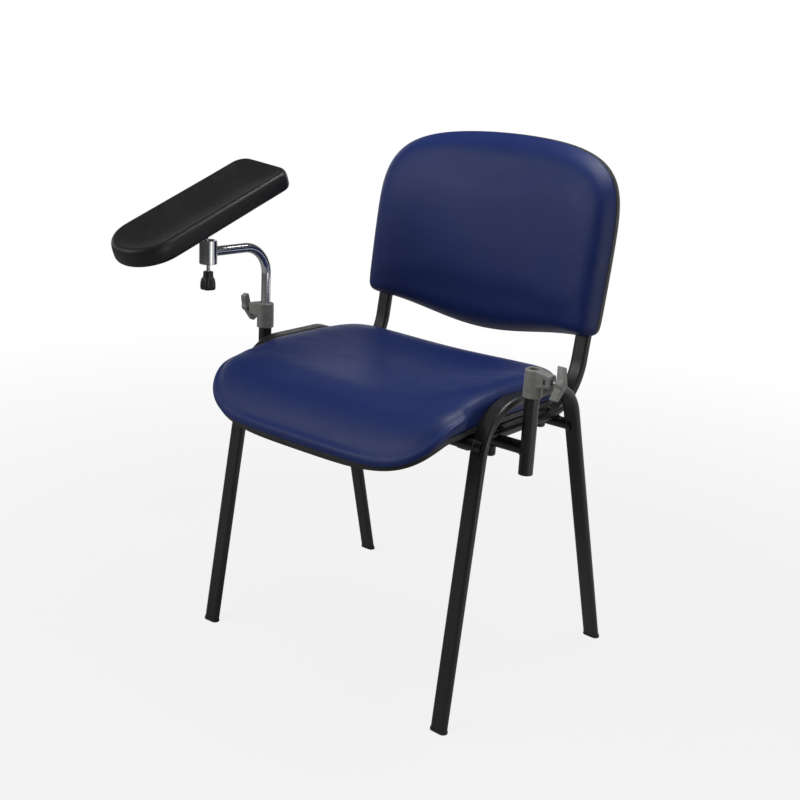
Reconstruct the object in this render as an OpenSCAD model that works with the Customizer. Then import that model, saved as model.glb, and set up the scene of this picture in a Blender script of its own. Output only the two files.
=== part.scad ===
// Phlebotomy chair: a stacking visitor chair with one padded blood-draw arm.
// Units are millimetres. +Z is up, the sitter faces -Y, and the floor is z = 0.
// Right and left are the sitter's own: the padded arm stands at the right, at -X.

/* [Frame] */
// Distance from the chair's middle to each side frame's tube, at the floor
foot_x = 254.3; // [245:0.1:265]
// Lean of each side frame towards the chair's middle, in degrees
frame_lean = 1.36; // [0:0.01:3]
// Turn of each side frame in plan, wider apart at the rear, in degrees
frame_toe = 1.32; // [0:0.01:2]
// Place of the front foot, before the chair's own datum
front_foot_y = -206.3; // [-215:0.1:-198]
// Place of the rear foot, behind the chair's own datum
rear_foot_y = 222.1; // [210:0.1:235]
// Lean of the front leg from upright, in degrees
front_leg_lean = 8.36; // [5:0.01:11]
// Lean of the rear leg from upright, in degrees
rear_leg_lean = 15.81; // [13:0.01:18]
// Height of the middle of the side frame's top run
frame_top_z = 486; // [480:0.5:490]
// Radius of the front bend, at the middle of the tube
front_bend_r = 80; // [55:1:90]
// Radius of the rear bend, at the middle of the tube
rear_bend_r = 70; // [60:1:85]
// Width of the flat oval tube
tube_w = 28; // [26:1:30]
// Thickness of the flat oval tube
tube_t = 13; // [12:0.5:15]
// Wall of the frame tubes
tube_wall = 1.5; // [1.2:0.1:2]
// Diameter of the two cross bars
bar_d = 18; // [16:1:18]
// Height of the front cross bar
front_bar_z = 431; // [428:0.5:434]

/* [Back supports] */
// Distance from the chair's middle to each back support
support_x = 209.2; // [204:0.1:210]
// Height of the rail under the seat, at its middle
rail_z = 425; // [423:0.5:427]
// Radius of the support's bend, at the middle of the tube
support_bend_r = 90; // [70:1:95]
// Lean of the supports from upright, in degrees
support_lean = 9; // [8:0.5:10]
// Place of the support where it meets the back's lower edge
support_y = 177.8; // [176:0.1:180]
// Height at which that place is taken
support_y_z = 537; // [530:1:545]
// Height of the support's upper end, inside the back shell
support_top_z = 650; // [640:5:680]

/* [Arm socket] */
// Distance from the chair's middle to each socket tube
socket_x = 274; // [272:0.5:278]
// Place of the socket tubes along the chair
socket_y = -67; // [-75:1:-55]
// Outer diameter of the socket tube
socket_d = 22; // [21:0.5:25]
// Height of the socket tube's lower end
socket_bottom_z = 380; // [360:1:395]
// Height of the clamp collar's lower end
collar_bottom_z = 498.5; // [496:0.5:502]
// Height of the clamp collar
collar_h = 42.5; // [38:0.5:46]
// Outer diameter of the clamp collar's head
collar_d = 29.5; // [28:0.5:32]
// Diameter of the tube that holds the socket to the seat rail
socket_arm_d = 20; // [18:1:22]
// Height of that tube, at its middle
socket_arm_z = 418.5; // [416:0.5:420]

/* [Wing knob] */
// Height of the clamp screw
screw_z = 527; // [524:0.5:530]
// Distance from the socket's axis to the middle of the knob
knob_out = 45.5; // [44:0.5:50]
// Length of the knob from wing tip to wing tip
wing_span = 50; // [40:1:54]
// Width of a wing at its tip
wing_w = 14; // [10:1:18]
// Thickness of a wing
wing_t = 8; // [6:0.5:10]
// Turn of the right knob's wings from upright, in degrees
right_wing_turn = -19; // [-60:1:60]
// Turn of the left knob's wings from upright, in degrees
left_wing_turn = -14; // [-60:1:60]

/* [Padded arm] */
// Diameter of the chrome arm tube
arm_d = 16; // [15:0.5:16]
// Height of the arm's level run
arm_z = 639.5; // [630:0.5:660]
// Reach from the socket's axis to the ball housing
arm_reach = 125; // [115:1:150]
// Radius of the arm's bend
arm_bend_r = 48; // [40:1:55]
// Swing of the arm at rest, outwards from straight ahead, in degrees
arm_swing = 3; // [0:1:10]
// Height of the arm tube's lower end
arm_foot_z = 430; // [425:1:440]
// Diameter of the ball housing
housing_d = 29; // [28:0.5:32]
// Height of the ball housing
housing_h = 38.5; // [36:0.5:42]
// Diameter of the ball
ball_d = 19; // [18:0.5:20]
// Height of the ball's middle
ball_z = 648; // [646:0.5:649]

/* [Arm pad] */
// Length of the pad
pad_len = 313; // [290:1:340]
// Width of the pad
pad_w = 122; // [110:1:130]
// Thickness of the pad at its rim
pad_t = 30.5; // [26:0.5:36]
// Length of the pad's rounded front end
pad_nose = 60; // [55:1:70]
// Radius of the pad's rear corners
pad_corner_r = 24; // [15:1:35]
// Depth of the hollow along the pad's top
pad_dish = 9; // [4:0.5:12]
// Turn of the pad at rest, in degrees
pad_yaw = -4; // [-10:1:10]
// Slope of the pad at rest, rear end up, in degrees
pad_pitch = 22.6; // [10:0.1:30]
// Sideways lean of the pad at rest, in degrees
pad_roll = 5.3; // [0:0.1:8]
// Distance from the ball's middle to the pad's underside
pad_lift = 49.2; // [46:0.1:55]
// Place of the pad's middle along the pad, from the stem
pad_shift = -1.5; // [-20:0.5:20]

/* [Seat] */
// Half width of the seat shell at the front
seat_half_w = 229; // [225:1:232]
// Half width of the seat shell between the side frames
seat_waist = 224.3; // [220:0.1:224.5]
// Place of the front edge of the seat shell
seat_front_y = -264; // [-275:1:-255]
// Place of the rear edge of the seat shell
seat_rear_y = 126; // [115:1:130]
// Height of the shell's lower edge along the sides
seat_rim_z = 446; // [445:0.5:448]
// Drop of the shell's edge at the waterfall front
seat_drop = 52; // [35:1:58]
// Place where the waterfall starts
seat_drop_y = -190; // [-200:1:-170]
// Height of the shell's upright rim
seat_rim_h = 9; // [7:0.5:11]
// Thickness of the seat at its side edges, above the rim's lower edge
seat_edge_t = 58; // [50:0.5:60]
// Thickness of the seat at its middle, above the rim's lower edge
seat_mid_t = 33; // [30:0.5:38]
// Thickness of the seat at its front corners
seat_corner_t = 34; // [30:0.5:38]
// Bulge of the seat cushion past the shell at the front
seat_bulge = 6.5; // [3:0.5:7]

/* [Back] */
// Recline of the back from upright, in degrees
recline = 8; // [7:0.5:9]
// Half width of the back
back_half_w = 240; // [234:1:242]
// Height of the back's top edge
back_top_z = 842; // [830:1:850]
// Height of the middle of the back's lower edge
back_low_z = 513; // [508:1:525]
// Rise of the lower edge from its middle to its corners
back_low_rise = 28; // [20:1:32]
// Place of the back's edge plane at its lower corners
back_y = 166; // [162:0.5:168]
// Hollow of the back across its width
back_hollow = 26; // [15:1:32]
// Thickness of the back cushion in front of its edge
back_cushion_t = 38; // [30:1:44]
// Depth of the back shell's side, behind its edge
back_shell_side = 14; // [12:0.5:16]

/* [Hidden] */

// The whole object's middle lies off the chair's own mirror plane, because of the arm.
chair_shift = [9.06, 56.33, 0];

round_fn = 64;
fine_fn = 32;
gap = 0.3;
fit = 0.06;
mate = 0.02;
side_right = -1;
side_left = 1;

black_steel = "#1c1c1d";
black_plastic = "#232323";
grey_plastic = "#62625f";
chrome = "#c9ccd0";
zinc = "#a9abad";
nylon = "#e6e3da";
blue_vinyl = "#2b3062";
plywood = "#b98f5e";
black_skin = "#19191b";

// Side frame, worked out in its own upright plane
front_turn = 90 - front_leg_lean;
rear_turn = 90 - rear_leg_lean;
front_knee_y = front_foot_y + frame_top_z * tan(front_leg_lean);
rear_knee_y = rear_foot_y - frame_top_z * tan(rear_leg_lean);
front_tangent = front_bend_r * tan(front_turn / 2);
rear_tangent = rear_bend_r * tan(rear_turn / 2);
foot_sole = 3;
foot_plug_h = 22;
leg_start = foot_sole / cos(front_leg_lean);
rear_leg_end = foot_sole / cos(rear_leg_lean);
front_leg_len = frame_top_z / cos(front_leg_lean) - front_tangent - leg_start;
top_run_len = rear_knee_y - front_knee_y - front_tangent - rear_tangent;
rear_leg_len = frame_top_z / cos(rear_leg_lean) - rear_tangent - rear_leg_end;

// Places along the leg at a given height
function front_leg_y(z) = front_foot_y + z * tan(front_leg_lean);
function rear_leg_y(z) = rear_foot_y - z * tan(rear_leg_lean);

// Back support
support_turn = 90 - support_lean;
support_knee_y = support_y - (support_y_z - rail_z) * tan(support_lean);
support_tangent = support_bend_r * tan(support_turn / 2);
rail_bend_y = support_knee_y - support_tangent;
support_top_y = support_y + (support_top_z - support_y_z) * tan(support_lean);
support_up_len = (support_top_z - rail_z) / cos(support_lean) - support_tangent;
front_bar_y = front_leg_y(front_bar_z);
rail_front_y = front_bar_y + 4;
rail_len = rail_bend_y - rail_front_y;
rail_under_z = rail_z - tube_t / 2;

// The rear cross bar lies in the hollow of the support's bend
rear_bar_y = 104;
bend_out_r = support_bend_r + tube_t / 2;
rear_bar_z = rail_z + support_bend_r
    - sqrt(pow(bend_out_r + bar_d / 2, 2) - pow(rear_bar_y - rail_bend_y, 2));

// Seat bolts: the front pair also holds the socket arms
bolt_y_front = socket_y;
bolt_y_rear = 68;
bolt_d = 6;
bolt_head_d = 12;
bolt_head_h = 4;
cap_d = 16;
socket_arm_under = socket_arm_z - socket_arm_d / 2;

// Socket and clamp
socket_wall = 1.5;
socket_top_z = collar_bottom_z + 22;
collar_top_z = collar_bottom_z + collar_h;
collar_skirt_d = 27;
collar_bore_r = arm_d / 2 + fit;
boss_out = 32;
boss_h = 20;
boss_w = 18;
screw_d = 8;
nut_w = 13;
nut_t = 6.5;
nut_out = 24;
hub_d = 18;
hub_t = 13;
knob_face = knob_out - hub_t / 2;

// Padded arm
socket_bore_r = socket_d / 2 - socket_wall;
arm_up_len = arm_z - arm_bend_r - arm_foot_z;
arm_level_len = arm_reach - arm_bend_r;
glide_h = 25;
plug_flange_h = 3;
housing_bottom_z = arm_z - housing_h / 2;
housing_top_z = arm_z + housing_h / 2;
seat_ring_r = ball_d / 2 + 2.2;
mouth_r = 8.3;
mouth_z = ball_z + 4.7;
stem_d = 8;
pressure_r = 7;
pressure_bottom_z = 631;
pressure_top_z = 641;
lock_screw_d = 6;
lock_knob_top = 608;
lock_knob_mid = 598;
lock_knob_bottom = 577.5;
lock_collar_d = 16.5;
lock_knob_d = 26;
flange_r = 10;
flange_t = 5;
plate_t = 4;
plate_w = 60;
plate_l = 110;
board_t = 9;
pad_wall = 10;

// Frames of reference
module on_chair() translate(chair_shift) children();
module at_socket(side) on_chair() translate([side * socket_x, socket_y, 0]) children();
module at_arm() at_socket(side_right) rotate([0, 0, -arm_swing]) children();
module at_housing() at_arm() translate([0, -arm_reach, 0]) children();
module at_pad()
    at_housing() translate([0, 0, ball_z]) rotate([0, 0, arm_swing + pad_yaw])
        rotate([pad_pitch, 0, 0]) rotate([0, pad_roll, 0]) children();

// Flat oval tube section: its width lies along X and its thickness along Y
module oval(w, t) {
    square([w - t, t], center = true);
    for (end = [-1, 1])
        translate([end * (w - t) / 2, 0]) intersection() {
            circle(d = t, $fn = fine_fn);
            translate([end * t, 0]) square(2 * t, center = true);
        }
}

module oval_wall(fuller = 0)
    difference() {
        oval(tube_w + 2 * fuller, tube_t + 2 * fuller);
        if (!$solid_bar)
            oval(tube_w - 2 * tube_wall - 2 * fuller, tube_t - 2 * tube_wall - 2 * fuller);
    }
$solid_bar = false;

// A straight run of the tube upwards, and a bend towards +Y. A bend's wall is a hair fuller,
// and the runs enter it by a short overlap, so that they join as one solid.
bend_fuller = 0.04;
run_overlap = 0.5;
module tube_run(length, from = -run_overlap)
    translate([0, 0, from]) linear_extrude(length - from + run_overlap) oval_wall();

module tube_bend(radius, turn)
    translate([0, radius, 0]) rotate([90, 0, -90])
        rotate_extrude(angle = turn, $fn = round_fn)
            translate([radius, 0]) rotate(90) oval_wall(bend_fuller);

module after_bend(radius, turn)
    translate([0, radius * (1 - cos(turn)), radius * sin(turn)]) rotate([-turn, 0, 0]) children();

// Side frame: one tube, bent twice, from the front foot to the rear foot
module in_side_plane(side)
    on_chair() translate([side * foot_x, 0, 0])
        rotate([0, 0, -side * frame_toe]) rotate([0, -side * frame_lean, 0]) children();

module side_frame_run(side)
    in_side_plane(side)
        translate([0, front_foot_y, 0]) rotate([-front_leg_lean, 0, 0]) translate([0, 0, leg_start]) {
            tube_run(front_leg_len, 0);
            translate([0, 0, front_leg_len]) {
                tube_bend(front_bend_r, front_turn);
                after_bend(front_bend_r, front_turn) {
                    tube_run(top_run_len);
                    translate([0, 0, top_run_len]) {
                        tube_bend(rear_bend_r, rear_turn);
                        after_bend(rear_bend_r, rear_turn) tube_run(rear_leg_len - run_overlap);
                    }
                }
            }
        }

module side_frame(side) color(black_steel) side_frame_run(side);

// Cross bar: its ends are cut to the side frames' round edges
module crossbar(y, z)
    color(black_steel) difference() {
        on_chair() translate([-foot_x, y, z]) rotate([0, 90, 0])
            difference() {
                cylinder(d = bar_d, h = 2 * foot_x, $fn = round_fn);
                translate([0, 0, -1])
                    cylinder(d = bar_d - 2 * tube_wall, h = 2 * foot_x + 2, $fn = round_fn);
            }
        for (side = [side_right, side_left]) {
            side_frame_run(side, $solid_bar = true);
            on_chair() translate([side * (foot_x + 17), y, z]) cube([50, 40, 60], center = true);
        }
    }

module front_crossbar() crossbar(front_bar_y, front_bar_z);
module rear_crossbar() crossbar(rear_bar_y, rear_bar_z);

// Back support: from inside the back shell down, forwards under the seat, to the front bar
module back_support(side)
    color(black_steel) difference() {
        on_chair() translate([side * support_x, support_top_y, support_top_z])
            rotate([180 - support_lean, 0, 0]) {
                tube_run(support_up_len, 0);
                translate([0, 0, support_up_len]) {
                    tube_bend(support_bend_r, support_turn);
                    after_bend(support_bend_r, support_turn) tube_run(rail_len);
                }
            }
        on_chair() translate([0, front_bar_y, front_bar_z]) rotate([0, 90, 0])
            cylinder(d = bar_d, h = 600, center = true, $fn = round_fn);
        for (y = [bolt_y_front, bolt_y_rear])
            on_chair() translate([side * support_x, y, rail_z])
                cylinder(d = bolt_d + 0.4, h = 2 * tube_t, center = true, $fn = fine_fn);
        for (z = back_bolt_z)
            at_back_bolt(side, z)
                cylinder(d = bolt_d + 0.4, h = 3 * tube_t, center = true, $fn = fine_fn);
    }

// Arm socket: a short tube notched under the seat rail, and an upright tube at its outer end
module socket_arm(side)
    color(black_steel) on_chair() difference() {
        translate([side * 188, socket_y, socket_arm_z]) rotate([0, side * 90, 0])
            difference() {
                cylinder(d = socket_arm_d, h = socket_x - 188, $fn = round_fn);
                translate([0, 0, -1])
                    cylinder(d = socket_arm_d - 2 * socket_wall, h = socket_x - 180, $fn = round_fn);
            }
        translate([side * socket_x, socket_y, 300]) cylinder(d = socket_d, h = 200, $fn = round_fn);
        translate([side * support_x, socket_y + 30, rail_z]) rotate([90, 0, 0])
            linear_extrude(60) oval(tube_w, tube_t);
        translate([side * (support_x - 20), socket_y, rail_z + tube_t / 2])
            cube([40, 60, 2 * tube_t], center = true);
        translate([side * support_x, socket_y, rail_z])
            cylinder(d = bolt_d + 0.4, h = 60, center = true, $fn = fine_fn);
    }

module socket_tube(side)
    color(black_steel) at_socket(side) translate([0, 0, socket_bottom_z])
        difference() {
            cylinder(d = socket_d, h = socket_top_z - socket_bottom_z, $fn = round_fn);
            translate([0, 0, -1])
                cylinder(r = socket_bore_r, h = socket_top_z - socket_bottom_z + 2, $fn = round_fn);
        }

// Clamp collar: a moulded cap on the socket tube, with a boss for the wing screw
module clamp_collar(side)
    color(grey_plastic) at_socket(side) rotate([0, 0, side > 0 ? 0 : 180]) difference() {
        union() {
            translate([0, 0, collar_bottom_z]) cylinder(d = collar_skirt_d, h = 18, $fn = round_fn);
            translate([0, 0, collar_bottom_z + 16])
                cylinder(d1 = collar_skirt_d, d2 = collar_d, h = 2, $fn = round_fn);
            translate([0, 0, collar_bottom_z + 18])
                cylinder(d = collar_d, h = collar_h - 19.5, $fn = round_fn);
            translate([0, 0, collar_top_z - 1.5])
                cylinder(d1 = collar_d, d2 = collar_d - 3, h = 1.5, $fn = round_fn);
            translate([0, -boss_w / 2, screw_z - boss_h / 2]) cube([boss_out - 5, boss_w, boss_h]);
            translate([boss_out - 5, 0, screw_z]) rotate([0, 90, 0])
                linear_extrude(5) {
                    square([boss_h - 8, boss_w], center = true);
                    square([boss_h, boss_w - 8], center = true);
                    for (a = [-1, 1], b = [-1, 1])
                        translate([a * (boss_h / 2 - 4), b * (boss_w / 2 - 4)])
                            circle(r = 4, $fn = fine_fn);
                }
        }
        translate([0, 0, collar_bottom_z - 1])
            cylinder(d = socket_d, h = socket_top_z - collar_bottom_z + 1, $fn = round_fn);
        translate([0, 0, socket_top_z - 1])
            cylinder(r = collar_bore_r, h = collar_h, $fn = round_fn);
        translate([0, 0, screw_z]) rotate([0, 90, 0])
            cylinder(d = screw_d + 0.4, h = boss_out + 10, $fn = fine_fn);
        translate([nut_out - nut_t / 2 - mate, -boss_w, screw_z - nut_w / 2 - mate])
            cube([nut_t + 2 * mate, boss_w + nut_w / 2 + mate, nut_w + 2 * mate]);
    }

module clamp_nut(side)
    color(zinc) at_socket(side) rotate([0, 0, side > 0 ? 0 : 180])
        translate([nut_out, 0, screw_z]) rotate([0, 90, 0])
            difference() {
                cube([nut_w, nut_w, nut_t], center = true);
                cylinder(d = screw_d + 2 * fit, h = 2 * nut_t, center = true, $fn = round_fn);
            }

module clamp_screw(side)
    color(zinc) at_socket(side) rotate([0, 0, side > 0 ? 0 : 180])
        translate([collar_bore_r + 0.2, 0, screw_z]) rotate([0, 90, 0]) {
            cylinder(d1 = screw_d - 2.5, d2 = screw_d, h = 1.5, $fn = round_fn);
            translate([0, 0, 1.5])
                cylinder(d = screw_d, h = knob_out + 2 - collar_bore_r - 1.7, $fn = round_fn);
        }

// Wing knob: a hub with two flat wings that sweep back towards the collar
module wing_knob(side, turn)
    color(grey_plastic) at_socket(side) rotate([0, 0, side > 0 ? 0 : 180])
        translate([knob_face, 0, screw_z]) rotate([turn, 0, 0]) rotate([0, 90, 0]) difference() {
            union() {
                cylinder(d = hub_d, h = hub_t - 2, $fn = round_fn);
                translate([0, 0, hub_t - 2]) cylinder(d1 = hub_d, d2 = hub_d - 4, h = 2, $fn = round_fn);
                for (end = [-1, 1]) hull() {
                    translate([end * 4, 0, hub_t / 2]) cube([6, hub_d - 4, wing_t + 2], center = true);
                    translate([end * (wing_span / 2 - 4), 0, 0.5])
                        cylinder(d = wing_w / 1.6, h = wing_t - 1.5, $fn = fine_fn);
                    for (across = [-1, 1])
                        translate([end * (wing_span / 2 - 6), across * (wing_w / 2 - 3.5), 0])
                            cylinder(r = 3.5, h = wing_t, $fn = fine_fn);
                }
            }
            translate([0, 0, -1])
                cylinder(d = screw_d + 2 * mate, h = knob_out + 3 - knob_face + mate, $fn = round_fn);
        }

// Feet: a moulded sole with a plug that fills the end of the leg, cut level with the floor
module foot(side, foot_y, lean)
    intersection() {
        in_side_plane(side) translate([0, foot_y, 0]) rotate([-lean, 0, 0]) {
            translate([0, 0, -8]) linear_extrude(8 + foot_sole / cos(lean))
                oval(tube_w + 2, tube_t + 2);
            translate([0, 0, foot_sole / cos(lean) - 1]) linear_extrude(foot_plug_h)
                oval(tube_w - 2 * tube_wall - 2 * mate, tube_t - 2 * tube_wall - 2 * mate);
        }
        on_chair() translate([-400, -400, 0]) cube([800, 800, 60]);
    }

module front_feet()
    color(black_plastic) for (side = [side_right, side_left]) foot(side, front_foot_y, front_leg_lean);

module rear_feet()
    color(black_plastic) for (side = [side_right, side_left]) foot(side, rear_foot_y, -rear_leg_lean);

// Smooth step from 0 to 1 as t goes from a to b
function ease(t, a, b) =
    let (k = min(1, max(0, (t - a) / (b - a))))
    k * k * (3 - 2 * k);

// One closed skin through rings of equal length, from a first point to a last point.
// Each four-sided patch is split along its shorter diagonal, so that skins laid against
// each other are split alike.
module skin(first, rings, last) {
    n = len(rings[0]);
    count = len(rings);
    points = concat([first], [for (ring = rings) each ring], [last]);
    top = len(points) - 1;
    faces = concat(
        [for (i = [0 : n - 1]) [1 + i, 1 + (i + 1) % n, 0]],
        [for (r = [0 : count - 2], i = [0 : n - 1], half = [0, 1])
            let (a = 1 + r * n + i, b = 1 + r * n + (i + 1) % n, c = a + n, d = b + n)
            norm(points[a] - points[d]) < norm(points[b] - points[c])
                ? (half == 0 ? [d, b, a] : [c, d, a])
                : (half == 0 ? [c, b, a] : [c, d, b])],
        [for (i = [0 : n - 1]) [top, 1 + (count - 1) * n + (i + 1) % n, 1 + (count - 1) * n + i]]);
    polyhedron(points, faces, convexity = 6);
}

// Seat outline, in plan, at the shell's edge: square-round front, waist, tighter rear corners
seat_mid = [0, -60];
front_mid_y = -163;
front_reach = front_mid_y - seat_front_y;
rear_mid_y = 20;
rear_reach = seat_rear_y - rear_mid_y;
front_power = 4;
rear_power = 5;
// Turns at which the points of an arc are taken, close together where it is round
arc_turns = [0.01, 0.4, 2.5, 7, 13, 21, 30, 39, 48, 57, 66, 75, 82, 87, 89.5];
coarse_turns = [0.01, 2.5, 13, 30, 48, 66, 82, 89.5];
function both_halves(turns) =
    concat(turns, [90], [for (k = [len(turns) - 1 : -1 : 0]) 180 - turns[k]]);
function power_arc(a, w, h, p) =
    [w * sign(cos(a)) * pow(abs(cos(a)), 2 / p), h * sign(sin(a)) * pow(abs(sin(a)), 2 / p)];
function seat_half(y) = seat_waist + (seat_half_w - seat_waist) * (1 - ease(y, -172, -150));
waist_y = [-150, -110, -60, -15];
seat_outline = concat(
    [for (a = both_halves(arc_turns))
        let (q = power_arc(180 + a, seat_half_w, front_reach, front_power))
        [q[0], front_mid_y + q[1]]],
    [for (y = waist_y) [seat_half(y), y]],
    [for (a = both_halves(coarse_turns))
        let (q = power_arc(a, seat_waist, rear_reach, rear_power))
        [q[0], rear_mid_y + q[1]]],
    [for (k = [len(waist_y) - 1 : -1 : 0]) [-seat_half(waist_y[k]), waist_y[k]]]);

// Height of the shell's lower edge, and of the seat above it
function rim_z(y) =
    seat_rim_z - seat_drop * pow(max(0, seat_drop_y - y) / (seat_drop_y - seat_front_y), 1.6);
function seat_over(x, y) =
    let (across = min(1, abs(x) / seat_waist),
        middle = seat_mid_t + 7 * ease(y, 20, 110) + 4 * ease(y, -140, -250),
        side = seat_edge_t + (seat_corner_t - seat_edge_t) * ease(y, -100, -195)
            - 10 * ease(y, 10, 100))
    middle + (side - middle) * pow(across, 2.6);
function bulge(p) = 1 + (seat_bulge - 1) * ease(p[1], -152, -172) + 2 * ease(p[1], 85, 104);

// A ring of the seat: the outline drawn in by a scale and a distance, then lifted
function drawn_in(p, scale, inset) =
    let (v = p - seat_mid, d = norm(v))
    seat_mid + v * scale * (1 - inset / d);
function seat_ring(scale, inset, lift) =
    [for (p = seat_outline)
        let (q = drawn_in(p, scale, inset), base = rim_z(max(q[1], seat_front_y)))
        [q[0], q[1], base + lift]];
function seat_top_ring(scale, inset, below) =
    [for (p = seat_outline)
        let (q = drawn_in(p, scale, inset), base = rim_z(max(q[1], seat_front_y)))
        [q[0], q[1], base + seat_over(q[0], q[1]) - below]];
function seat_side_ring(share, lift) =
    [for (p = seat_outline)
        let (q = drawn_in(p, 1, -bulge(p) * share), base = rim_z(max(q[1], seat_front_y)))
        [q[0], q[1], base + seat_rim_h + lift * (seat_over(q[0], q[1]) - seat_rim_h)]];

// Seat shell: a shallow moulded tray that wraps the board's edge
pan_wall = 3;
pan_dip = 5;
pan_boss_d = 20;
pan_boss_bottom = rail_z + tube_t / 2 + mate;
function mid_point(z) = [seat_mid[0], seat_mid[1], z];

module at_seat_bolts()
    for (side = [side_right, side_left], y = [bolt_y_front, bolt_y_rear])
        on_chair() translate([side * support_x, y, 0]) children();

module seat_pan()
    color(black_plastic) difference() {
        union() {
            on_chair() skin(
                mid_point(seat_rim_z - pan_dip),
                [seat_ring(0.35, 0, -pan_dip), seat_ring(0.7, 0, -pan_dip), seat_ring(1, 22, -pan_dip),
                    seat_ring(1, 9, -pan_dip * 0.6), seat_ring(1, 1.2, 0), seat_ring(1, 0, 1.2),
                    seat_ring(1, 0, seat_rim_h), seat_ring(1, pan_wall, seat_rim_h),
                    seat_ring(1, pan_wall + 0.4, 2.5), seat_ring(1, 10, -pan_dip * 0.6 + pan_wall),
                    seat_ring(1, 23, pan_wall - pan_dip), seat_ring(0.7, 0, pan_wall - pan_dip),
                    seat_ring(0.35, 0, pan_wall - pan_dip)],
                mid_point(seat_rim_z - pan_dip + pan_wall));
            at_seat_bolts() translate([0, 0, pan_boss_bottom])
                cylinder(d = pan_boss_d, h = seat_rim_z - pan_dip + 1.5 - pan_boss_bottom, $fn = fine_fn);
        }
        at_seat_bolts() cylinder(d = bolt_d + 0.4, h = 600, $fn = fine_fn);
    }

// Seat board: moulded plywood that lies in the shell
seat_board_t = 10;
board_low = pan_wall - pan_dip + 0.1;
board_top = board_low + seat_board_t;

module seat_board()
    color(plywood) on_chair() skin(
        mid_point(seat_rim_z + board_low),
        [seat_ring(0.35, 0, board_low), seat_ring(0.7, 0, board_low), seat_ring(1, 24, board_low),
            seat_ring(1, 11.5, 1), seat_ring(1, pan_wall + 2, 4.5), seat_ring(1, pan_wall + 2, board_top),
            seat_ring(1, 24, board_top), seat_ring(0.7, 0, board_top), seat_ring(0.35, 0, board_top)],
        mid_point(seat_rim_z + board_top));

// Seat cushion: foam under vinyl, hollowed across, raised at the sides, with a waterfall front
module seat_cushion()
    color(blue_vinyl) on_chair() skin(
        mid_point(seat_rim_z + board_top + 0.1),
        [seat_ring(0.35, 0, board_top + 0.1), seat_ring(0.7, 0, board_top + 0.1),
            seat_ring(1, 24, board_top + 0.1), seat_ring(1, pan_wall + 1.5, board_top + 0.1),
            seat_ring(1, pan_wall + 1.5, seat_rim_h + 0.2), seat_ring(1, 0.8, seat_rim_h + 0.2),
            seat_side_ring(0.8, 0.1), seat_side_ring(1, 0.34), seat_side_ring(0.75, 0.6),
            seat_top_ring(1, 2.5, 7.5), seat_top_ring(1, 8, 2.6),
            seat_top_ring(1, 16, 0.6), seat_top_ring(1, 30, 0), seat_top_ring(0.72, 0, 0),
            seat_top_ring(0.5, 0, 0), seat_top_ring(0.25, 0, 0)],
        mid_point(seat_rim_z + seat_over(seat_mid[0], seat_mid[1])));

// Seat bolts: button heads under the rails, with shanks up into the board
module seat_bolt(side, y, under_z)
    on_chair() translate([side * support_x, y, 0]) {
        translate([0, 0, under_z - bolt_head_h])
            cylinder(d = bolt_head_d, h = bolt_head_h, $fn = fine_fn);
        translate([0, 0, under_z])
            cylinder(d = bolt_d, h = seat_rim_z + 6 - under_z, $fn = fine_fn);
    }

module seat_bolts()
    color(zinc) for (side = [side_right, side_left]) {
        seat_bolt(side, bolt_y_front, socket_arm_under);
        seat_bolt(side, bolt_y_rear, rail_under_z);
    }

module bolt_cap(side, y, under_z, length)
    on_chair() translate([side * support_x, y, under_z - length]) difference() {
        union() {
            translate([0, 0, 2]) cylinder(d = cap_d, h = length - 2, $fn = fine_fn);
            cylinder(d1 = cap_d - 4, d2 = cap_d, h = 2, $fn = fine_fn);
        }
        translate([0, 0, length - bolt_head_h])
            cylinder(d = bolt_head_d + 2 * mate, h = bolt_head_h + 1, $fn = fine_fn);
    }

module seat_bolt_caps()
    color(black_plastic) for (side = [side_right, side_left]) {
        bolt_cap(side, bolt_y_front, socket_arm_under, 16);
        bolt_cap(side, bolt_y_rear, rail_under_z, 10);
    }

// Back: an edge surface that reclines and is hollow across, and layers measured from it
function back_edge_y(x, z) =
    back_y + (z - 547) * tan(recline) + back_hollow * (1 - pow(x / back_half_w, 2));
back_mid_z = 655;
back_low_corner_z = 549;
back_corner_x = 226;
back_power = 5;
back_spring_z = 640;
back_top_fall = 0.114;
low_steps = 12;
function low_edge_z(x) = back_low_z + back_low_rise * (1 - cos(180 * min(1, abs(x) / 236))) / 2;
back_outline = concat(
    [for (a = both_halves(arc_turns))
        let (q = power_arc(a, back_half_w, back_top_z - back_spring_z, back_power))
        [q[0], back_spring_z + q[1] * (1 - back_top_fall * pow(q[0] / back_half_w, 2))]],
    [[-back_half_w + 0.6, 590], [-back_half_w + 1.6, 556], [-back_half_w + 4.5, 547]],
    [for (k = [0 : low_steps])
        let (x = -back_corner_x + 2 * back_corner_x * k / low_steps)
        [x, low_edge_z(x)]],
    [[back_half_w - 4.5, 547], [back_half_w - 1.6, 556], [back_half_w - 0.6, 590]]);
back_mid = [0, 660];
function back_ring(scale, inset, behind) =
    [for (p = back_outline)
        let (v = p - back_mid, q = back_mid + v * scale * (1 - inset / norm(v)))
        [q[0], back_edge_y(q[0], q[1]) + behind, q[1]]];
function back_point(behind) = [0, back_edge_y(0, back_mid[1]) + behind, back_mid[1]];

module at_back_support(side, clear)
    on_chair() translate([side * support_x, support_y, support_y_z]) rotate([-support_lean, 0, 0])
        translate([0, 0, -60]) linear_extrude(support_top_z - support_y_z + 65)
            oval(tube_w + 2 * clear, tube_t + 2 * clear);

shell_wall = 2.6;
shell_depth = 23;
board_front = -8.5;
board_rear = 1.5;

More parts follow.
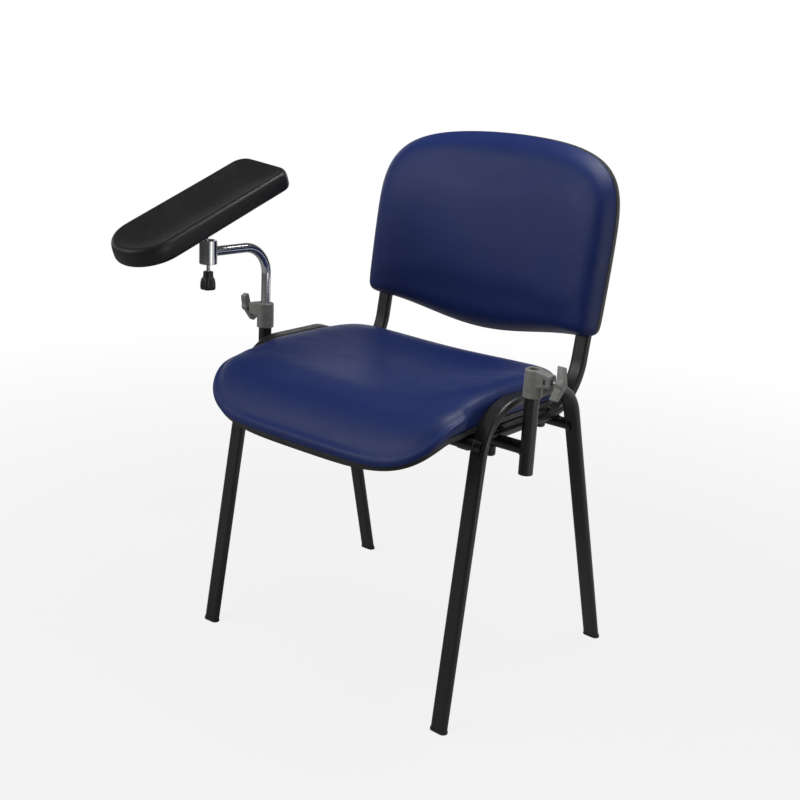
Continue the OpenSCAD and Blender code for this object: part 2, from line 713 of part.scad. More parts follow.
// Back shell: a moulded cover behind the back, with two notches for the supports
module back_shell()
    color(black_plastic) difference() {
        on_chair() skin(
            back_point(shell_depth),
            [back_ring(0.4, 0, shell_depth), back_ring(0.75, 0, shell_depth),
                back_ring(1, 26, shell_depth - 0.6), back_ring(1, 10, back_shell_side + 4),
                back_ring(1, 2.2, back_shell_side), back_ring(1, 0, back_shell_side - 4),
                back_ring(1, 0, 0.3), back_ring(1, shell_wall, 0.3),
                back_ring(1, shell_wall + 0.4, back_shell_side - 4.4),
                back_ring(1, 11.5, back_shell_side + 3.8 - shell_wall),
                back_ring(1, 27, shell_depth - 0.6 - shell_wall),
                back_ring(0.75, 0, shell_depth - shell_wall),
                back_ring(0.4, 0, shell_depth - shell_wall)],
            back_point(shell_depth - shell_wall));
        for (side = [side_right, side_left])
            at_back_support(side, gap);
    }

// Back board: bent plywood bolted to the front of the supports
module back_board()
    color(plywood) difference() {
        on_chair() skin(
            back_point(board_rear),
            [back_ring(0.4, 0, board_rear), back_ring(0.75, 0, board_rear), back_ring(1, 7, board_rear),
                back_ring(1, 6, board_rear - 1), back_ring(1, 6, board_front + 1),
                back_ring(1, 7, board_front), back_ring(0.75, 0, board_front),
                back_ring(0.4, 0, board_front)],
            back_point(board_front));
        for (side = [side_right, side_left]) at_back_support(side, mate);
    }

// Back cushion: crowned foam under vinyl, drawn in along its edge
function back_crown(x, z) =
    let (up = (z - 680) / 165, across = x / back_half_w)
    back_cushion_t * (0.86 + 0.14 * (1 - up * up)) * (1 - 0.1 * across * across);
function back_top_ring(scale, inset, share) =
    [for (p = back_outline)
        let (v = p - back_mid, q = back_mid + v * scale * (1 - inset / norm(v)))
        [q[0], back_edge_y(q[0], q[1]) - share * back_crown(q[0], q[1]), q[1]]];

module back_cushion()
    color(blue_vinyl) difference() {
        on_chair() skin(
            back_point(board_front - 0.1),
            [back_ring(0.75, 0, board_front - 0.1), back_ring(1, 5.8, board_front - 0.1),
                back_ring(1, 5.6, -0.1), back_ring(1, 1.2, -0.1), back_ring(1, 0, -2),
                back_top_ring(1, 3, 0.24), back_top_ring(1, 7, 0.42), back_top_ring(1, 12, 0.64),
                back_top_ring(1, 20, 0.87), back_top_ring(1, 32, 0.97), back_top_ring(1, 48, 1),
                back_top_ring(0.55, 0, 1), back_top_ring(0.3, 0, 1)],
            [0, back_edge_y(0, back_mid[1]) - back_crown(0, back_mid[1]), back_mid[1]]);
        for (side = [side_right, side_left]) at_back_support(side, gap);
    }

// Back bolts: from behind each support into the board
back_bolt_z = [575, 625];
module at_back_bolt(side, z)
    on_chair() translate([side * support_x, support_y + (z - support_y_z) * tan(support_lean), z])
        rotate([90 - support_lean, 0, 0]) children();

module back_bolts()
    color(zinc) for (side = [side_right, side_left], z = back_bolt_z)
        at_back_bolt(side, z) {
            translate([0, 0, -tube_t / 2 - 3]) cylinder(d = bolt_head_d, h = 3, $fn = fine_fn);
            translate([0, 0, -tube_t / 2]) cylinder(d = bolt_d, h = tube_t + 5, $fn = fine_fn);
        }

// Padded arm: a nylon glide on the tube's foot runs in the socket tube
module arm_glide()
    color(nylon) at_arm() translate([0, 0, arm_foot_z + 0.1]) difference() {
        cylinder(r = socket_bore_r - fit, h = glide_h, $fn = round_fn);
        translate([0, 0, -1]) cylinder(r = arm_d / 2 + fit, h = glide_h + 2, $fn = round_fn);
    }

arm_wall = 1.5;
module arm_section()
    difference() {
        circle(d = arm_d, $fn = round_fn);
        circle(d = arm_d - 2 * arm_wall, $fn = round_fn);
    }

module arm_tube()
    color(chrome) difference() {
        at_arm() translate([0, 0, arm_foot_z]) rotate([0, 0, 180]) {
            linear_extrude(arm_up_len) arm_section();
            translate([0, 0, arm_up_len]) {
                translate([0, arm_bend_r, 0]) rotate([90, 0, -90])
                    rotate_extrude(angle = 90, $fn = round_fn) translate([arm_bend_r, 0]) arm_section();
                after_bend(arm_bend_r, 90) linear_extrude(arm_level_len) arm_section();
            }
        }
        at_housing() translate([0, 0, arm_z - 30]) cylinder(d = housing_d, h = 60, $fn = round_fn);
        at_housing() translate([-20, -40, arm_z - 30]) cube([40, 40, 60]);
    }

module arm_tube_plug()
    color(black_plastic) at_arm() {
        translate([0, 0, arm_foot_z - plug_flange_h])
            cylinder(d = arm_d + 2, h = plug_flange_h, $fn = round_fn);
        translate([0, 0, arm_foot_z])
            cylinder(d = arm_d - 2 * arm_wall - 2 * mate, h = 14, $fn = round_fn);
    }

// Ball housing: a chrome barrel with a pocket for the ball seat and a threaded foot
module ball_housing()
    color(chrome) at_housing() difference() {
        union() {
            translate([0, 0, housing_bottom_z + 0.8])
                cylinder(d = housing_d, h = housing_h - 1.6, $fn = round_fn);
            translate([0, 0, housing_bottom_z])
                cylinder(d1 = housing_d - 1.6, d2 = housing_d, h = 0.8, $fn = round_fn);
            translate([0, 0, housing_top_z - 0.8])
                cylinder(d1 = housing_d, d2 = housing_d - 1.6, h = 0.8, $fn = round_fn);
        }
        translate([0, 0, pressure_bottom_z - mate])
            cylinder(r = pressure_r + fit, h = 20, $fn = round_fn);
        translate([0, 0, ball_z - 6.5]) cylinder(r = seat_ring_r + fit, h = 13.6, $fn = round_fn);
        translate([0, 0, ball_z + 7]) cylinder(r1 = 10.2, r2 = 12.6, h = 5, $fn = round_fn);
        translate([0, 0, housing_bottom_z - 1])
            cylinder(d = lock_screw_d + 2 * fit, h = 20, $fn = round_fn);
    }

// Pressure pad: pushed up under the ball by the lock screw
module pressure_pad()
    color(nylon) at_housing() difference() {
        translate([0, 0, pressure_bottom_z])
            cylinder(r = pressure_r, h = pressure_top_z - pressure_bottom_z, $fn = round_fn);
        translate([0, 0, ball_z]) sphere(r = ball_d / 2 + fit, $fn = round_fn);
    }

module lock_screw()
    color(zinc) at_housing() translate([0, 0, lock_knob_mid - 6])
        cylinder(d = lock_screw_d, h = pressure_bottom_z - 0.1 - lock_knob_mid + 6, $fn = round_fn);

// Lock knob: a round collar over five lobes
module lock_knob()
    color(black_plastic) at_housing() difference() {
        union() {
            translate([0, 0, lock_knob_mid - 1])
                cylinder(d = lock_collar_d, h = lock_knob_top - lock_knob_mid, $fn = round_fn);
            translate([0, 0, lock_knob_top - 1])
                cylinder(d1 = lock_collar_d, d2 = lock_collar_d - 2, h = 1, $fn = round_fn);
            translate([0, 0, lock_knob_bottom + 1])
                linear_extrude(lock_knob_mid - lock_knob_bottom + 0.5) lobes(0);
            translate([0, 0, lock_knob_bottom]) linear_extrude(1) lobes(1);
        }
        translate([0, 0, lock_knob_mid - 6 - mate])
            cylinder(d = lock_screw_d + 2 * mate, h = 30, $fn = round_fn);
    }

module lobes(inset) {
    circle(d = lock_collar_d, $fn = round_fn);
    for (k = [0 : 4]) rotate(72 * k + 20) {
        translate([lock_knob_d / 2 - 4, 0]) circle(r = 4 - inset, $fn = fine_fn);
        translate([0, inset - 4]) square([lock_knob_d / 2 - 4, 8 - 2 * inset]);
    }
}

// Ball seat: a nylon ring that holds the ball and turns in the housing
module ball_seat()
    color(nylon) at_housing() difference() {
        translate([0, 0, ball_z - 6.4]) cylinder(r = seat_ring_r, h = 12.9, $fn = round_fn);
        translate([0, 0, ball_z]) sphere(r = ball_d / 2 + fit, $fn = round_fn);
        translate([0, 0, ball_z - 10]) cylinder(r = 8.2, h = 10, $fn = round_fn);
        translate([0, 0, mouth_z]) cylinder(r1 = mouth_r, r2 = mouth_r + 2.4, h = 4, $fn = round_fn);
    }

module ball_stud()
    color(chrome) at_pad() {
        sphere(d = ball_d, $fn = round_fn);
        cylinder(d = stem_d, h = pad_lift - plate_t - 1, $fn = round_fn);
        translate([0, 0, pad_lift - plate_t - flange_t])
            cylinder(r = flange_r, h = flange_t, $fn = round_fn);
    }

// Pad plate: a steel plate with round corners, screwed to the board in the pad
pad_hole_x = 22;
pad_hole_y = 45;
module pad_plate()
    color(black_steel) at_pad() translate([0, 0, pad_lift - plate_t]) difference() {
        linear_extrude(plate_t - 0.1) {
            square([plate_w - 12, plate_l], center = true);
            square([plate_w, plate_l - 12], center = true);
            for (a = [-1, 1], b = [-1, 1])
                translate([a * (plate_w / 2 - 6), b * (plate_l / 2 - 6)]) circle(r = 6, $fn = fine_fn);
        }
        for (a = [-1, 1], b = [-1, 1])
            translate([a * pad_hole_x, b * pad_hole_y, -1])
                cylinder(d = 5.2, h = plate_t + 2, $fn = fine_fn);
    }

module pad_screws()
    color(zinc) at_pad() for (a = [-1, 1], b = [-1, 1])
        translate([a * pad_hole_x, b * pad_hole_y, pad_lift - plate_t - 3]) {
            cylinder(d = 9, h = 2.9, $fn = fine_fn);
            cylinder(d = 5, h = 3 + plate_t + board_t - 2, $fn = fine_fn);
        }

// Pad outline: half-round front end, straight sides, rounded rear corners
pad_r = pad_w / 2;
nose_steps = 16;
corner_steps = 5;
function pad_corner(side, a) =
    [side * (pad_r - pad_corner_r) + pad_corner_r * cos(a),
        pad_len / 2 - pad_corner_r + pad_corner_r * sin(a)];
pad_outline = concat(
    [for (k = [0 : nose_steps])
        let (a = 180 + 180 * k / nose_steps)
        [pad_r * cos(a), -pad_len / 2 + pad_nose + pad_nose * sin(a)]],
    [for (y = [-40, 20, 80]) [pad_r, y]],
    [for (k = [0 : corner_steps])
        let (a = 90 * k / corner_steps)
        pad_corner(1, a)],
    [for (k = [0 : corner_steps])
        let (a = 90 + 90 * k / corner_steps)
        pad_corner(-1, a)],
    [for (y = [80, 20, -40]) [-pad_r, y]]);

// A ring of the pad is the outline drawn in towards the pad's middle line
function pad_core(p) = [0, min(pad_len / 2 - pad_r, max(-pad_len / 2 + pad_nose, p[1]))];
function pad_ring(inset, z) =
    [for (p = pad_outline)
        let (c = pad_core(p), v = p - c, q = c + v * (1 - inset / norm(v)))
        [q[0], q[1] + pad_shift, pad_lift + z]];
function pad_dish_ring(share, z) =
    [for (p = pad_outline)
        let (c = pad_core(p), q = c + (p - c) * share)
        [q[0], q[1] + pad_shift, pad_lift + z]];

// Pad board: a plywood stiffener in the pad's underside
module pad_board()
    color(plywood) at_pad() skin(
        [0, pad_shift, pad_lift + 0.05],
        [pad_ring(pad_wall + 1, 0.05), pad_ring(pad_wall, 1), pad_ring(pad_wall, board_t)],
        [0, pad_shift, pad_lift + board_t]);

// Arm pad: self-skinned foam with a rounded rim and a hollow along its top
module arm_pad()
    color(black_skin) at_pad() skin(
        [0, pad_shift, pad_lift + board_t + 0.1],
        [pad_ring(pad_wall - 0.2, board_t + 0.1), pad_ring(pad_wall - 0.2, 0.1), pad_ring(4, 0),
            pad_ring(1.2, 1.2), pad_ring(0, 4), pad_ring(0, pad_t - 10), pad_ring(1.6, pad_t - 5),
            pad_ring(4.6, pad_t - 1.4), pad_ring(8.5, pad_t), pad_ring(13, pad_t - 1),
            pad_dish_ring(0.66, pad_t - pad_dish * 0.45), pad_dish_ring(0.4, pad_t - pad_dish * 0.85),
            pad_dish_ring(0.15, pad_t - pad_dish)],
        [0, pad_shift, pad_lift + pad_t - pad_dish]);

side_frame(side_right);  // right_side_frame
side_frame(side_left);  // left_side_frame
front_crossbar();
rear_crossbar();
back_support(side_right);  // right_back_support
back_support(side_left);  // left_back_support
socket_arm(side_right);  // right_socket_arm
socket_arm(side_left);  // left_socket_arm
socket_tube(side_right);  // right_socket_tube
socket_tube(side_left);  // left_socket_tube
clamp_collar(side_right);  // right_clamp_collar
clamp_collar(side_left);  // left_clamp_collar
clamp_nut(side_right);  // right_clamp_nut
clamp_nut(side_left);  // left_clamp_nut
clamp_screw(side_right);  // right_clamp_screw
clamp_screw(side_left);  // left_clamp_screw
wing_knob(side_right, right_wing_turn);  // right_wing_knob
wing_knob(side_left, left_wing_turn);  // left_wing_knob
front_feet();
rear_feet();
seat_pan();
seat_board();
seat_cushion();
seat_bolts();
seat_bolt_caps();
back_shell();
back_board();
back_cushion();
back_bolts();
arm_glide();
arm_tube();
arm_tube_plug();
ball_housing();
pressure_pad();
lock_screw();
lock_knob();
ball_seat();
ball_stud();
pad_plate();
pad_screws();
pad_board();
arm_pad();
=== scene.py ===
import math

import bmesh
import bpy
import numpy as np
from mathutils import Matrix, Vector
from mathutils.kdtree import KDTree


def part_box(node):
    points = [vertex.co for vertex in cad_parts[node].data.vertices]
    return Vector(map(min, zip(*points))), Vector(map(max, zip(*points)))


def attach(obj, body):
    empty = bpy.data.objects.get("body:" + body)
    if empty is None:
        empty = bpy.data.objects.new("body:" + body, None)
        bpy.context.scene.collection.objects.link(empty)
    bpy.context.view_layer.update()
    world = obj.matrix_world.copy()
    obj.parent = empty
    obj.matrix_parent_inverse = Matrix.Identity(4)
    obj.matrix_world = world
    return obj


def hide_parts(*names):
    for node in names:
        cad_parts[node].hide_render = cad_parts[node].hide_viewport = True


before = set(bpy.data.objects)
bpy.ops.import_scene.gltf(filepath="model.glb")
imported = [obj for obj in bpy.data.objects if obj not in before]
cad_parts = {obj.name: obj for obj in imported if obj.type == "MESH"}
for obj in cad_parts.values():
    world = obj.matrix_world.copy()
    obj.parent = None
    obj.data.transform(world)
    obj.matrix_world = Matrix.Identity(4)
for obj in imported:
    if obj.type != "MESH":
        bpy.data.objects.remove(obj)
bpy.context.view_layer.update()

# Camera
# The chair is seen from its front left and a little above, as in the photograph. The chair's own
# datum lies on its mirror plane, midway between the two socket tubes, and a little behind them.
SOCKETS_BEFORE_DATUM = 0.067
CAMERA_PLACE = (1135, -1460, 974.4)
CAMERA_RIGHT = (0.77255, 0.63275, 0.05291)
CAMERA_UP = (-0.22273, 0.19202, 0.95578)
CAMERA_BACK = (0.59461, -0.75017, 0.28927)
LENS = 52.77

sockets = [Vector(corner) for side in ("left", "right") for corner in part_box(side + "_socket_tube")]
socket_mid = sum(sockets, Vector()) / len(sockets)
datum = Vector((socket_mid.x, socket_mid.y + SOCKETS_BEFORE_DATUM, 0))


def at_chair(x, y, z):
    """A place in millimetres from the chair's datum, as a place in the model in metres."""
    return Vector((x, y, z)) / 1000 + datum


camera = bpy.data.objects.new("camera", bpy.data.cameras.new("camera"))
camera.data.lens = LENS
camera.matrix_world = (Matrix.Translation(at_chair(*CAMERA_PLACE))
                       @ Matrix((CAMERA_RIGHT, CAMERA_UP, CAMERA_BACK)).transposed().to_4x4())
bpy.context.scene.collection.objects.link(camera)
bpy.context.scene.camera = camera
bpy.context.scene.view_settings.view_transform = "Standard"

# Steel tubes
# The side frames, cross bars, back supports, socket arms and socket tubes are welded steel tube
# under one black powder coat, which has a fine orange-peel skin and a few paler scuffs.
STEEL_NODES = ("right_side_frame", "left_side_frame", "front_crossbar", "rear_crossbar",
               "right_back_support", "left_back_support", "right_socket_arm", "left_socket_arm",
               "right_socket_tube", "left_socket_tube", "pad_plate")


def add_node(tree, kind, **inputs):
    """A shader node with its inputs set: a value is written, and a socket is linked."""
    node = tree.nodes.new("ShaderNode" + kind)
    for name, value in inputs.items():
        socket = node.inputs[name.replace("_", " ")]
        if isinstance(value, bpy.types.NodeSocket):
            tree.links.new(value, socket)
        else:
            socket.default_value = value
    return node


def grain(tree, scale, detail=3.0, roughness=0.55, stretch=(1, 1, 1), cells=False):
    """A pattern that lies still in the piece: cloudy noise, or the cells of a moulded grain."""
    place = add_node(tree, "TexCoord").outputs["Object"]
    place = add_node(tree, "Mapping", Vector=place, Scale=stretch).outputs["Vector"]
    if cells:
        return add_node(tree, "TexVoronoi", Vector=place, Scale=scale).outputs["Distance"]
    noise = add_node(tree, "TexNoise", Vector=place, Scale=scale, Detail=detail,
                     Roughness=roughness)
    return noise.outputs["Fac"]


def stops(tree, factor, *colours):
    """A colour ramp over the factor, from (place, colour) pairs."""
    ramp = add_node(tree, "ValToRGB", Fac=factor)
    band = ramp.color_ramp
    while len(band.elements) < len(colours):
        band.elements.new(0.5)
    for element, (place, colour) in zip(band.elements, colours):
        element.position = place
        element.color = (*colour, 1)
    return ramp.outputs["Color"]


def finish(name, tones, rough, reliefs, blotch=9.0, smear=60.0, wear=None, stretch=(1, 1, 1),
           **even):
    """A material: mottled tones, uneven gloss, reliefs as (scale, depth, cells), and the rest even.

    wear is (colour, scale, share): thin rubbed places of that colour.
    """
    material = bpy.data.materials.new(name)
    material.use_nodes = True
    tree = material.node_tree
    shader = tree.nodes["Principled BSDF"]
    colour = stops(tree, grain(tree, blotch, stretch=stretch), (0.3, tones[0]), (0.7, tones[1]))
    if wear:
        rubbed, scale, share = wear
        mask = stops(tree, grain(tree, scale, 6.0, 0.7), (1 - share - 0.06, (0, 0, 0)),
                     (1 - share, (1, 1, 1)))
        mix = tree.nodes.new("ShaderNodeMix")
        mix.data_type = "RGBA"
        tree.links.new(mask, mix.inputs["Factor"])
        tree.links.new(colour, mix.inputs["A"])
        mix.inputs["B"].default_value = (*rubbed, 1)
        colour = mix.outputs["Result"]
    tree.links.new(colour, shader.inputs["Base Color"])
    gloss = add_node(tree, "MapRange", Value=grain(tree, smear, stretch=stretch), From_Min=0.3,
                     From_Max=0.7, To_Min=rough[0], To_Max=rough[1])
    tree.links.new(gloss.outputs["Result"], shader.inputs["Roughness"])
    normal = None
    for scale, depth, cells in reliefs:
        bump = add_node(tree, "Bump", Strength=1.0, Distance=depth,
                        Height=grain(tree, scale, stretch=stretch, cells=cells))
        if normal:
            tree.links.new(normal, bump.inputs["Normal"])
        normal = bump.outputs["Normal"]
    tree.links.new(normal, shader.inputs["Normal"])
    for socket, value in even.items():
        shader.inputs[socket.replace("_", " ")].default_value = value
    return material


def dress(node, material):
    """Gives a CAD node its finished material."""
    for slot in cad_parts[node].material_slots:
        slot.material = material


powder_coat = finish("black powder coat", ((0.0075, 0.0075, 0.0078), (0.012, 0.012, 0.0125)),
                     (0.33, 0.45), ((900, 0.00006, False), (160, 0.00009, False)),
                     wear=((0.035, 0.035, 0.036), 55.0, 0.2), Specular_IOR_Level=0.5)
for node in STEEL_NODES:
    dress(node, powder_coat)

# Feet
# A moulded black sole with a plug is pressed into the end of each leg. The floor has rubbed the
# soles grey.
sole_plastic = finish("rubbed foot plastic", ((0.01, 0.01, 0.01), (0.022, 0.022, 0.021)),
                      (0.5, 0.68), ((1400, 0.00005, False), (300, 0.00012, False)),
                      wear=((0.07, 0.068, 0.064), 120.0, 0.3))
for node in ("front_feet", "rear_feet"):
    dress(node, sole_plastic)

# Seat shell
# A shallow black tray, moulded in one piece, wraps the edge of the seat board from below. Four
# bosses stand on the rails, and the seat bolts pass through them.
SEAT_HALF_W, SEAT_WAIST = 229, 224.3
SEAT_FRONT_Y, SEAT_REAR_Y = -264, 126
FRONT_MID_Y, REAR_MID_Y = -163, 20
SEAT_MID = Vector((0, -60))
RIM_Z, RIM_H, PAN_DIP, PAN_WALL = 446, 9, 5, 3
DROP, DROP_Y, DROP_POWER = 56, -190, 1.8
ARC_TURNS = (0.01, 0.4, 2.5, 7, 13, 21, 30, 39, 48, 57, 66, 75, 82, 87, 89.5)
BOTH_HALVES = (*ARC_TURNS, 90, *(180 - a for a in reversed(ARC_TURNS)))
WAIST_Y = (-150, -110, -60, -15)


def ease(t, a, b):
    """0 on a's side, 1 on b's side, and a smooth step between them."""
    k = min(1, max(0, (t - a) / (b - a)))
    return k * k * (3 - 2 * k)


def power_arc(turn, half_w, reach, power):
    """A point of a rounded arch: the higher the power, the squarer its shoulders."""
    a = math.radians(turn)
    return Vector((math.copysign(half_w * abs(math.cos(a)) ** (2 / power), math.cos(a)),
                   math.copysign(reach * abs(math.sin(a)) ** (2 / power), math.sin(a))))


def seat_half(y):
    """Half the seat's width along its straight sides, where the side frames draw it in."""
    return SEAT_WAIST + (SEAT_HALF_W - SEAT_WAIST) * (1 - ease(y, -172, -150))


seat_outline = (
    [power_arc(180 + a, SEAT_HALF_W, FRONT_MID_Y - SEAT_FRONT_Y, 4) + Vector((0, FRONT_MID_Y))
     for a in BOTH_HALVES]
    + [Vector((seat_half(y), y)) for y in WAIST_Y]
    + [power_arc(a, SEAT_WAIST, SEAT_REAR_Y - REAR_MID_Y, 5) + Vector((0, REAR_MID_Y))
       for a in BOTH_HALVES]
    + [Vector((-seat_half(y), y)) for y in reversed(WAIST_Y)])


def rim_z(y):
    """Height of the shell's lower edge, which drops at the waterfall front."""
    past = max(0, DROP_Y - max(y, SEAT_FRONT_Y)) / (DROP_Y - SEAT_FRONT_Y)
    return RIM_Z - DROP * past ** DROP_POWER


def drawn_in(p, mid, scale, inset):
    """A point of an outline, drawn in towards its middle by a scale and a distance."""
    v = p - mid
    return mid + v * scale * (1 - inset / v.length)


def seat_ring(scale, inset, lift):
    """The seat's outline, drawn in, at a height above the shell's lower edge."""
    points = [drawn_in(p, SEAT_MID, scale, inset) for p in seat_outline]
    return [(p.x, p.y, rim_z(p.y) + lift) for p in points]


def skinned(name, rings, first, last, smooth_levels=2):
    """A closed cage through rings of equal length, which subdivision turns into a smooth skin."""
    count = len(rings[0])
    points = [at_chair(*p) for ring in rings for p in ring]
    faces = [(r * count + i, r * count + (i + 1) % count,
              (r + 1) * count + (i + 1) % count, (r + 1) * count + i)
             for r in range(len(rings) - 1) for i in range(count)]
    top = len(points)
    points += [at_chair(*first), at_chair(*last)]
    end = (len(rings) - 1) * count
    faces += [(top, (i + 1) % count, i) for i in range(count)]
    faces += [(top + 1, end + i, end + (i + 1) % count) for i in range(count)]
    mesh = bpy.data.meshes.new(name)
    mesh.from_pydata([tuple(p) for p in points], [], faces)
    piece = add_piece(name, mesh)
    if smooth_levels:
        smooth = piece.modifiers.new("smooth", "SUBSURF")
        smooth.levels = smooth.render_levels = smooth_levels
        apply_modifiers(piece)
    return piece


def add_piece(name, mesh):
    """An object with that mesh at the origin, smooth, with its faces pointing outwards."""
    build = bmesh.new()
    build.from_mesh(mesh)
    bmesh.ops.recalc_face_normals(build, faces=build.faces)
    build.to_mesh(mesh)
    build.free()
    mesh.shade_smooth()
    piece = bpy.data.objects.new(name, mesh)
    bpy.context.scene.collection.objects.link(piece)
    return piece


def loft(build, rings):
    """Adds a closed solid through rings of equal length, in millimetres from the chair's datum."""
    rows = [[build.verts.new(at_chair(*p)) for p in ring] for ring in rings]
    count = len(rows[0])
    for low, high in zip(rows, rows[1:]):
        for i in range(count):
            build.faces.new((low[i], low[(i + 1) % count], high[(i + 1) % count], high[i]))
    build.faces.new(rows[0][::-1])
    build.faces.new(rows[-1])


def turned(build, place, profile, segments=40):
    """Adds a solid turned about its own upright axis, from (radius, height) pairs."""
    turns = [2 * math.pi * k / segments for k in range(segments)]
    loft(build, [[place @ Vector((r * math.cos(a), r * math.sin(a), h)) for a in turns]
                 for r, h in profile])


def lofted(name, *solids):
    """One object from several solids, each a function that adds itself to the build."""
    build = bmesh.new()
    for solid in solids:
        solid(build)
    mesh = bpy.data.meshes.new(name)
    build.to_mesh(mesh)
    build.free()
    return add_piece(name, mesh)


def join(piece, *others):
    """Adds the other objects' meshes to the first object's and removes them."""
    build = bmesh.new()
    for one in (piece, *others):
        build.from_mesh(one.data)
    mesh = bpy.data.meshes.new(piece.name)
    build.to_mesh(mesh)
    build.free()
    piece.data = mesh
    mesh.shade_smooth()
    for one in others:
        bpy.data.objects.remove(one)


def node_group(name, *inputs):
    """An empty Geometry Nodes group, with named inputs as (name, kind, default)."""
    group = bpy.data.node_groups.new(name, "GeometryNodeTree")
    group.interface.new_socket("Geometry", in_out="INPUT", socket_type="NodeSocketGeometry")
    for label, kind, default in inputs:
        socket = group.interface.new_socket(label, in_out="INPUT", socket_type="NodeSocket" + kind)
        if default is not None:
            socket.default_value = default
    group.interface.new_socket("Geometry", in_out="OUTPUT", socket_type="NodeSocketGeometry")
    return group, group.nodes.new("NodeGroupInput").outputs


def geometry_node(group, kind, *links):
    """A Geometry Nodes node with its inputs linked or set, as (input, value) pairs."""
    node = group.nodes.new(kind)
    for key, value in links:
        if isinstance(value, bpy.types.NodeSocket):
            group.links.new(value, node.inputs[key])
        else:
            node.inputs[key].default_value = value
    return node


def finish_group(group, geometry, material):
    """Ends a group: instances become real, take the material, and go to the output."""
    real = geometry_node(group, "GeometryNodeRealizeInstances", ("Geometry", geometry))
    dressed = geometry_node(group, "GeometryNodeSetMaterial",
                            ("Geometry", real.outputs[0]), ("Material", material))
    geometry_node(group, "NodeGroupOutput", ("Geometry", dressed.outputs[0]))


def run_group(piece, group, **values):
    """Runs a group on a piece with its inputs set by name, and keeps the outcome as plain mesh."""
    modifier = piece.modifiers.new(group.name, "NODES")
    modifier.node_group = group
    for item in group.interface.items_tree:
        if item.in_out == "INPUT" and item.name.replace(" ", "_") in values:
            modifier[item.identifier] = values[item.name.replace(" ", "_")]
    apply_modifiers(piece)


def apply_modifiers(piece):
    """Turns what the modifiers show into the piece's plain mesh."""
    shown = piece.evaluated_get(bpy.context.evaluated_depsgraph_get())
    mesh = bpy.data.meshes.new_from_object(shown)
    piece.modifiers.clear()
    piece.data = mesh
    mesh.shade_smooth()


def settle(piece, material, body, slot, *nodes):
    """Gives a finished piece its material and its body, and hides the nodes that it replaces. The
    slot is not used.
    """
    piece.data.materials.clear()
    piece.data.materials.append(material)
    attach(piece, body)
    if nodes:
        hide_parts(*nodes)


moulded_black = finish("grained black moulding", ((0.0105, 0.0105, 0.011), (0.015, 0.015, 0.0155)),
                       (0.46, 0.58), ((1500, 0.00007, True), (240, 0.00006, False)),
                       wear=((0.028, 0.028, 0.028), 40.0, 0.16))
SKIRT_DEPTH, SKIRT_CUT = 6, 0.97
BAR_GAP_FRONT, BAR_GAP_REAR = (-172, -160), (-128, -116)


def skirt_ring(inset, share):
    """The stiffening skirt under the tray, cut away where it crosses the front cross bar."""
    rows = []
    for p in seat_outline:
        q = drawn_in(p, SEAT_MID, 1, inset)
        cut = SKIRT_CUT * (ease(q.y, *BAR_GAP_FRONT) - ease(q.y, *BAR_GAP_REAR))
        rows.append((q.x, q.y, rim_z(q.y) - PAN_DIP - SKIRT_DEPTH * share * (1 - cut)))
    return rows


seat_shell = skinned(
    "seat_shell",
    [seat_ring(0.35, 0, -PAN_DIP), seat_ring(0.7, 0, -PAN_DIP), skirt_ring(30, 0),
     skirt_ring(27.4, 0), skirt_ring(27, 0.2), skirt_ring(26.6, 0.97), skirt_ring(26.2, 1),
     skirt_ring(24.4, 1), skirt_ring(24, 0.97), skirt_ring(23.6, 0.2), skirt_ring(23.2, 0),
     seat_ring(1, 16, -PAN_DIP), seat_ring(1, 9, -PAN_DIP * 0.7), seat_ring(1, 2.4, -1.0),
     seat_ring(1, 0.3, 0.6), seat_ring(1, 0, 2.6), seat_ring(1, 0, RIM_H - 0.6),
     seat_ring(1, 0.2, RIM_H - 0.1), seat_ring(1, PAN_WALL - 0.2, RIM_H),
     seat_ring(1, PAN_WALL, RIM_H - 0.5), seat_ring(1, PAN_WALL + 0.4, 2.5),
     seat_ring(1, 10, PAN_WALL - PAN_DIP * 0.6), seat_ring(1, 23, PAN_WALL - PAN_DIP),
     seat_ring(0.7, 0, PAN_WALL - PAN_DIP), seat_ring(0.35, 0, PAN_WALL - PAN_DIP)],
    (*SEAT_MID, RIM_Z - PAN_DIP), (*SEAT_MID, RIM_Z - PAN_DIP + PAN_WALL))
SUPPORT_X, RAIL_TOP_Z = 209.2, 431.5
BOLT_Y = (-67, 68)
BOSS_PROFILE = ((9.4, 0), (10.4, 0.8), (10.8, 8), (12.4, 10.4))
RIB_DEPTH, RIB_T = 5, 1.8
STRIP_OUT, STRIP_IN, STRIP_T = -10.5, 7.5, 3
CROSS_RIB_HALF, CROSS_RIB_Y, CROSS_RIB_STEP = 196, -112, 0.026
LONG_RIB_X, LONG_RIB_ENDS, LONG_RIB_STEP = -160, (-116, 76), 0.04


def pan_bosses(build):
    """A boss over each seat bolt, with four webs that spread its load into the tray."""
    for side in (-1, 1):
        for y in BOLT_Y:
            place = Matrix.Translation((side * SUPPORT_X, y, RAIL_TOP_Z))
            turned(build, place, BOSS_PROFILE)
            for turn in (0, 90, 180, 270):
                spoke = place @ Matrix.Rotation(math.radians(turn), 4, "Z")
                loft(build, [[spoke @ Vector((x, w, z)) for x, w, z in (
                    (8, -0.9, low), (8, 0.9, low), (reach, 0.9, low), (reach, -0.9, low))]
                    for low, reach in ((3.5, 13), (10.2, 24))])


def rail_strips(build):
    """Two strips at each side by which the tray sits on the rail, from boss to boss."""
    for side in (-1, 1):
        for across in (STRIP_OUT, STRIP_IN):
            x = side * SUPPORT_X + across + STRIP_T / 2
            loft(build, [[(x - w, a, z), (x + w, a, z), (x + w, b, z), (x - w, b, z)]
                         for w, a, b, z in ((1.1, -122, 74, RAIL_TOP_Z + 0.1),
                                            (1.5, -126, 78, RAIL_TOP_Z + 10.2))])


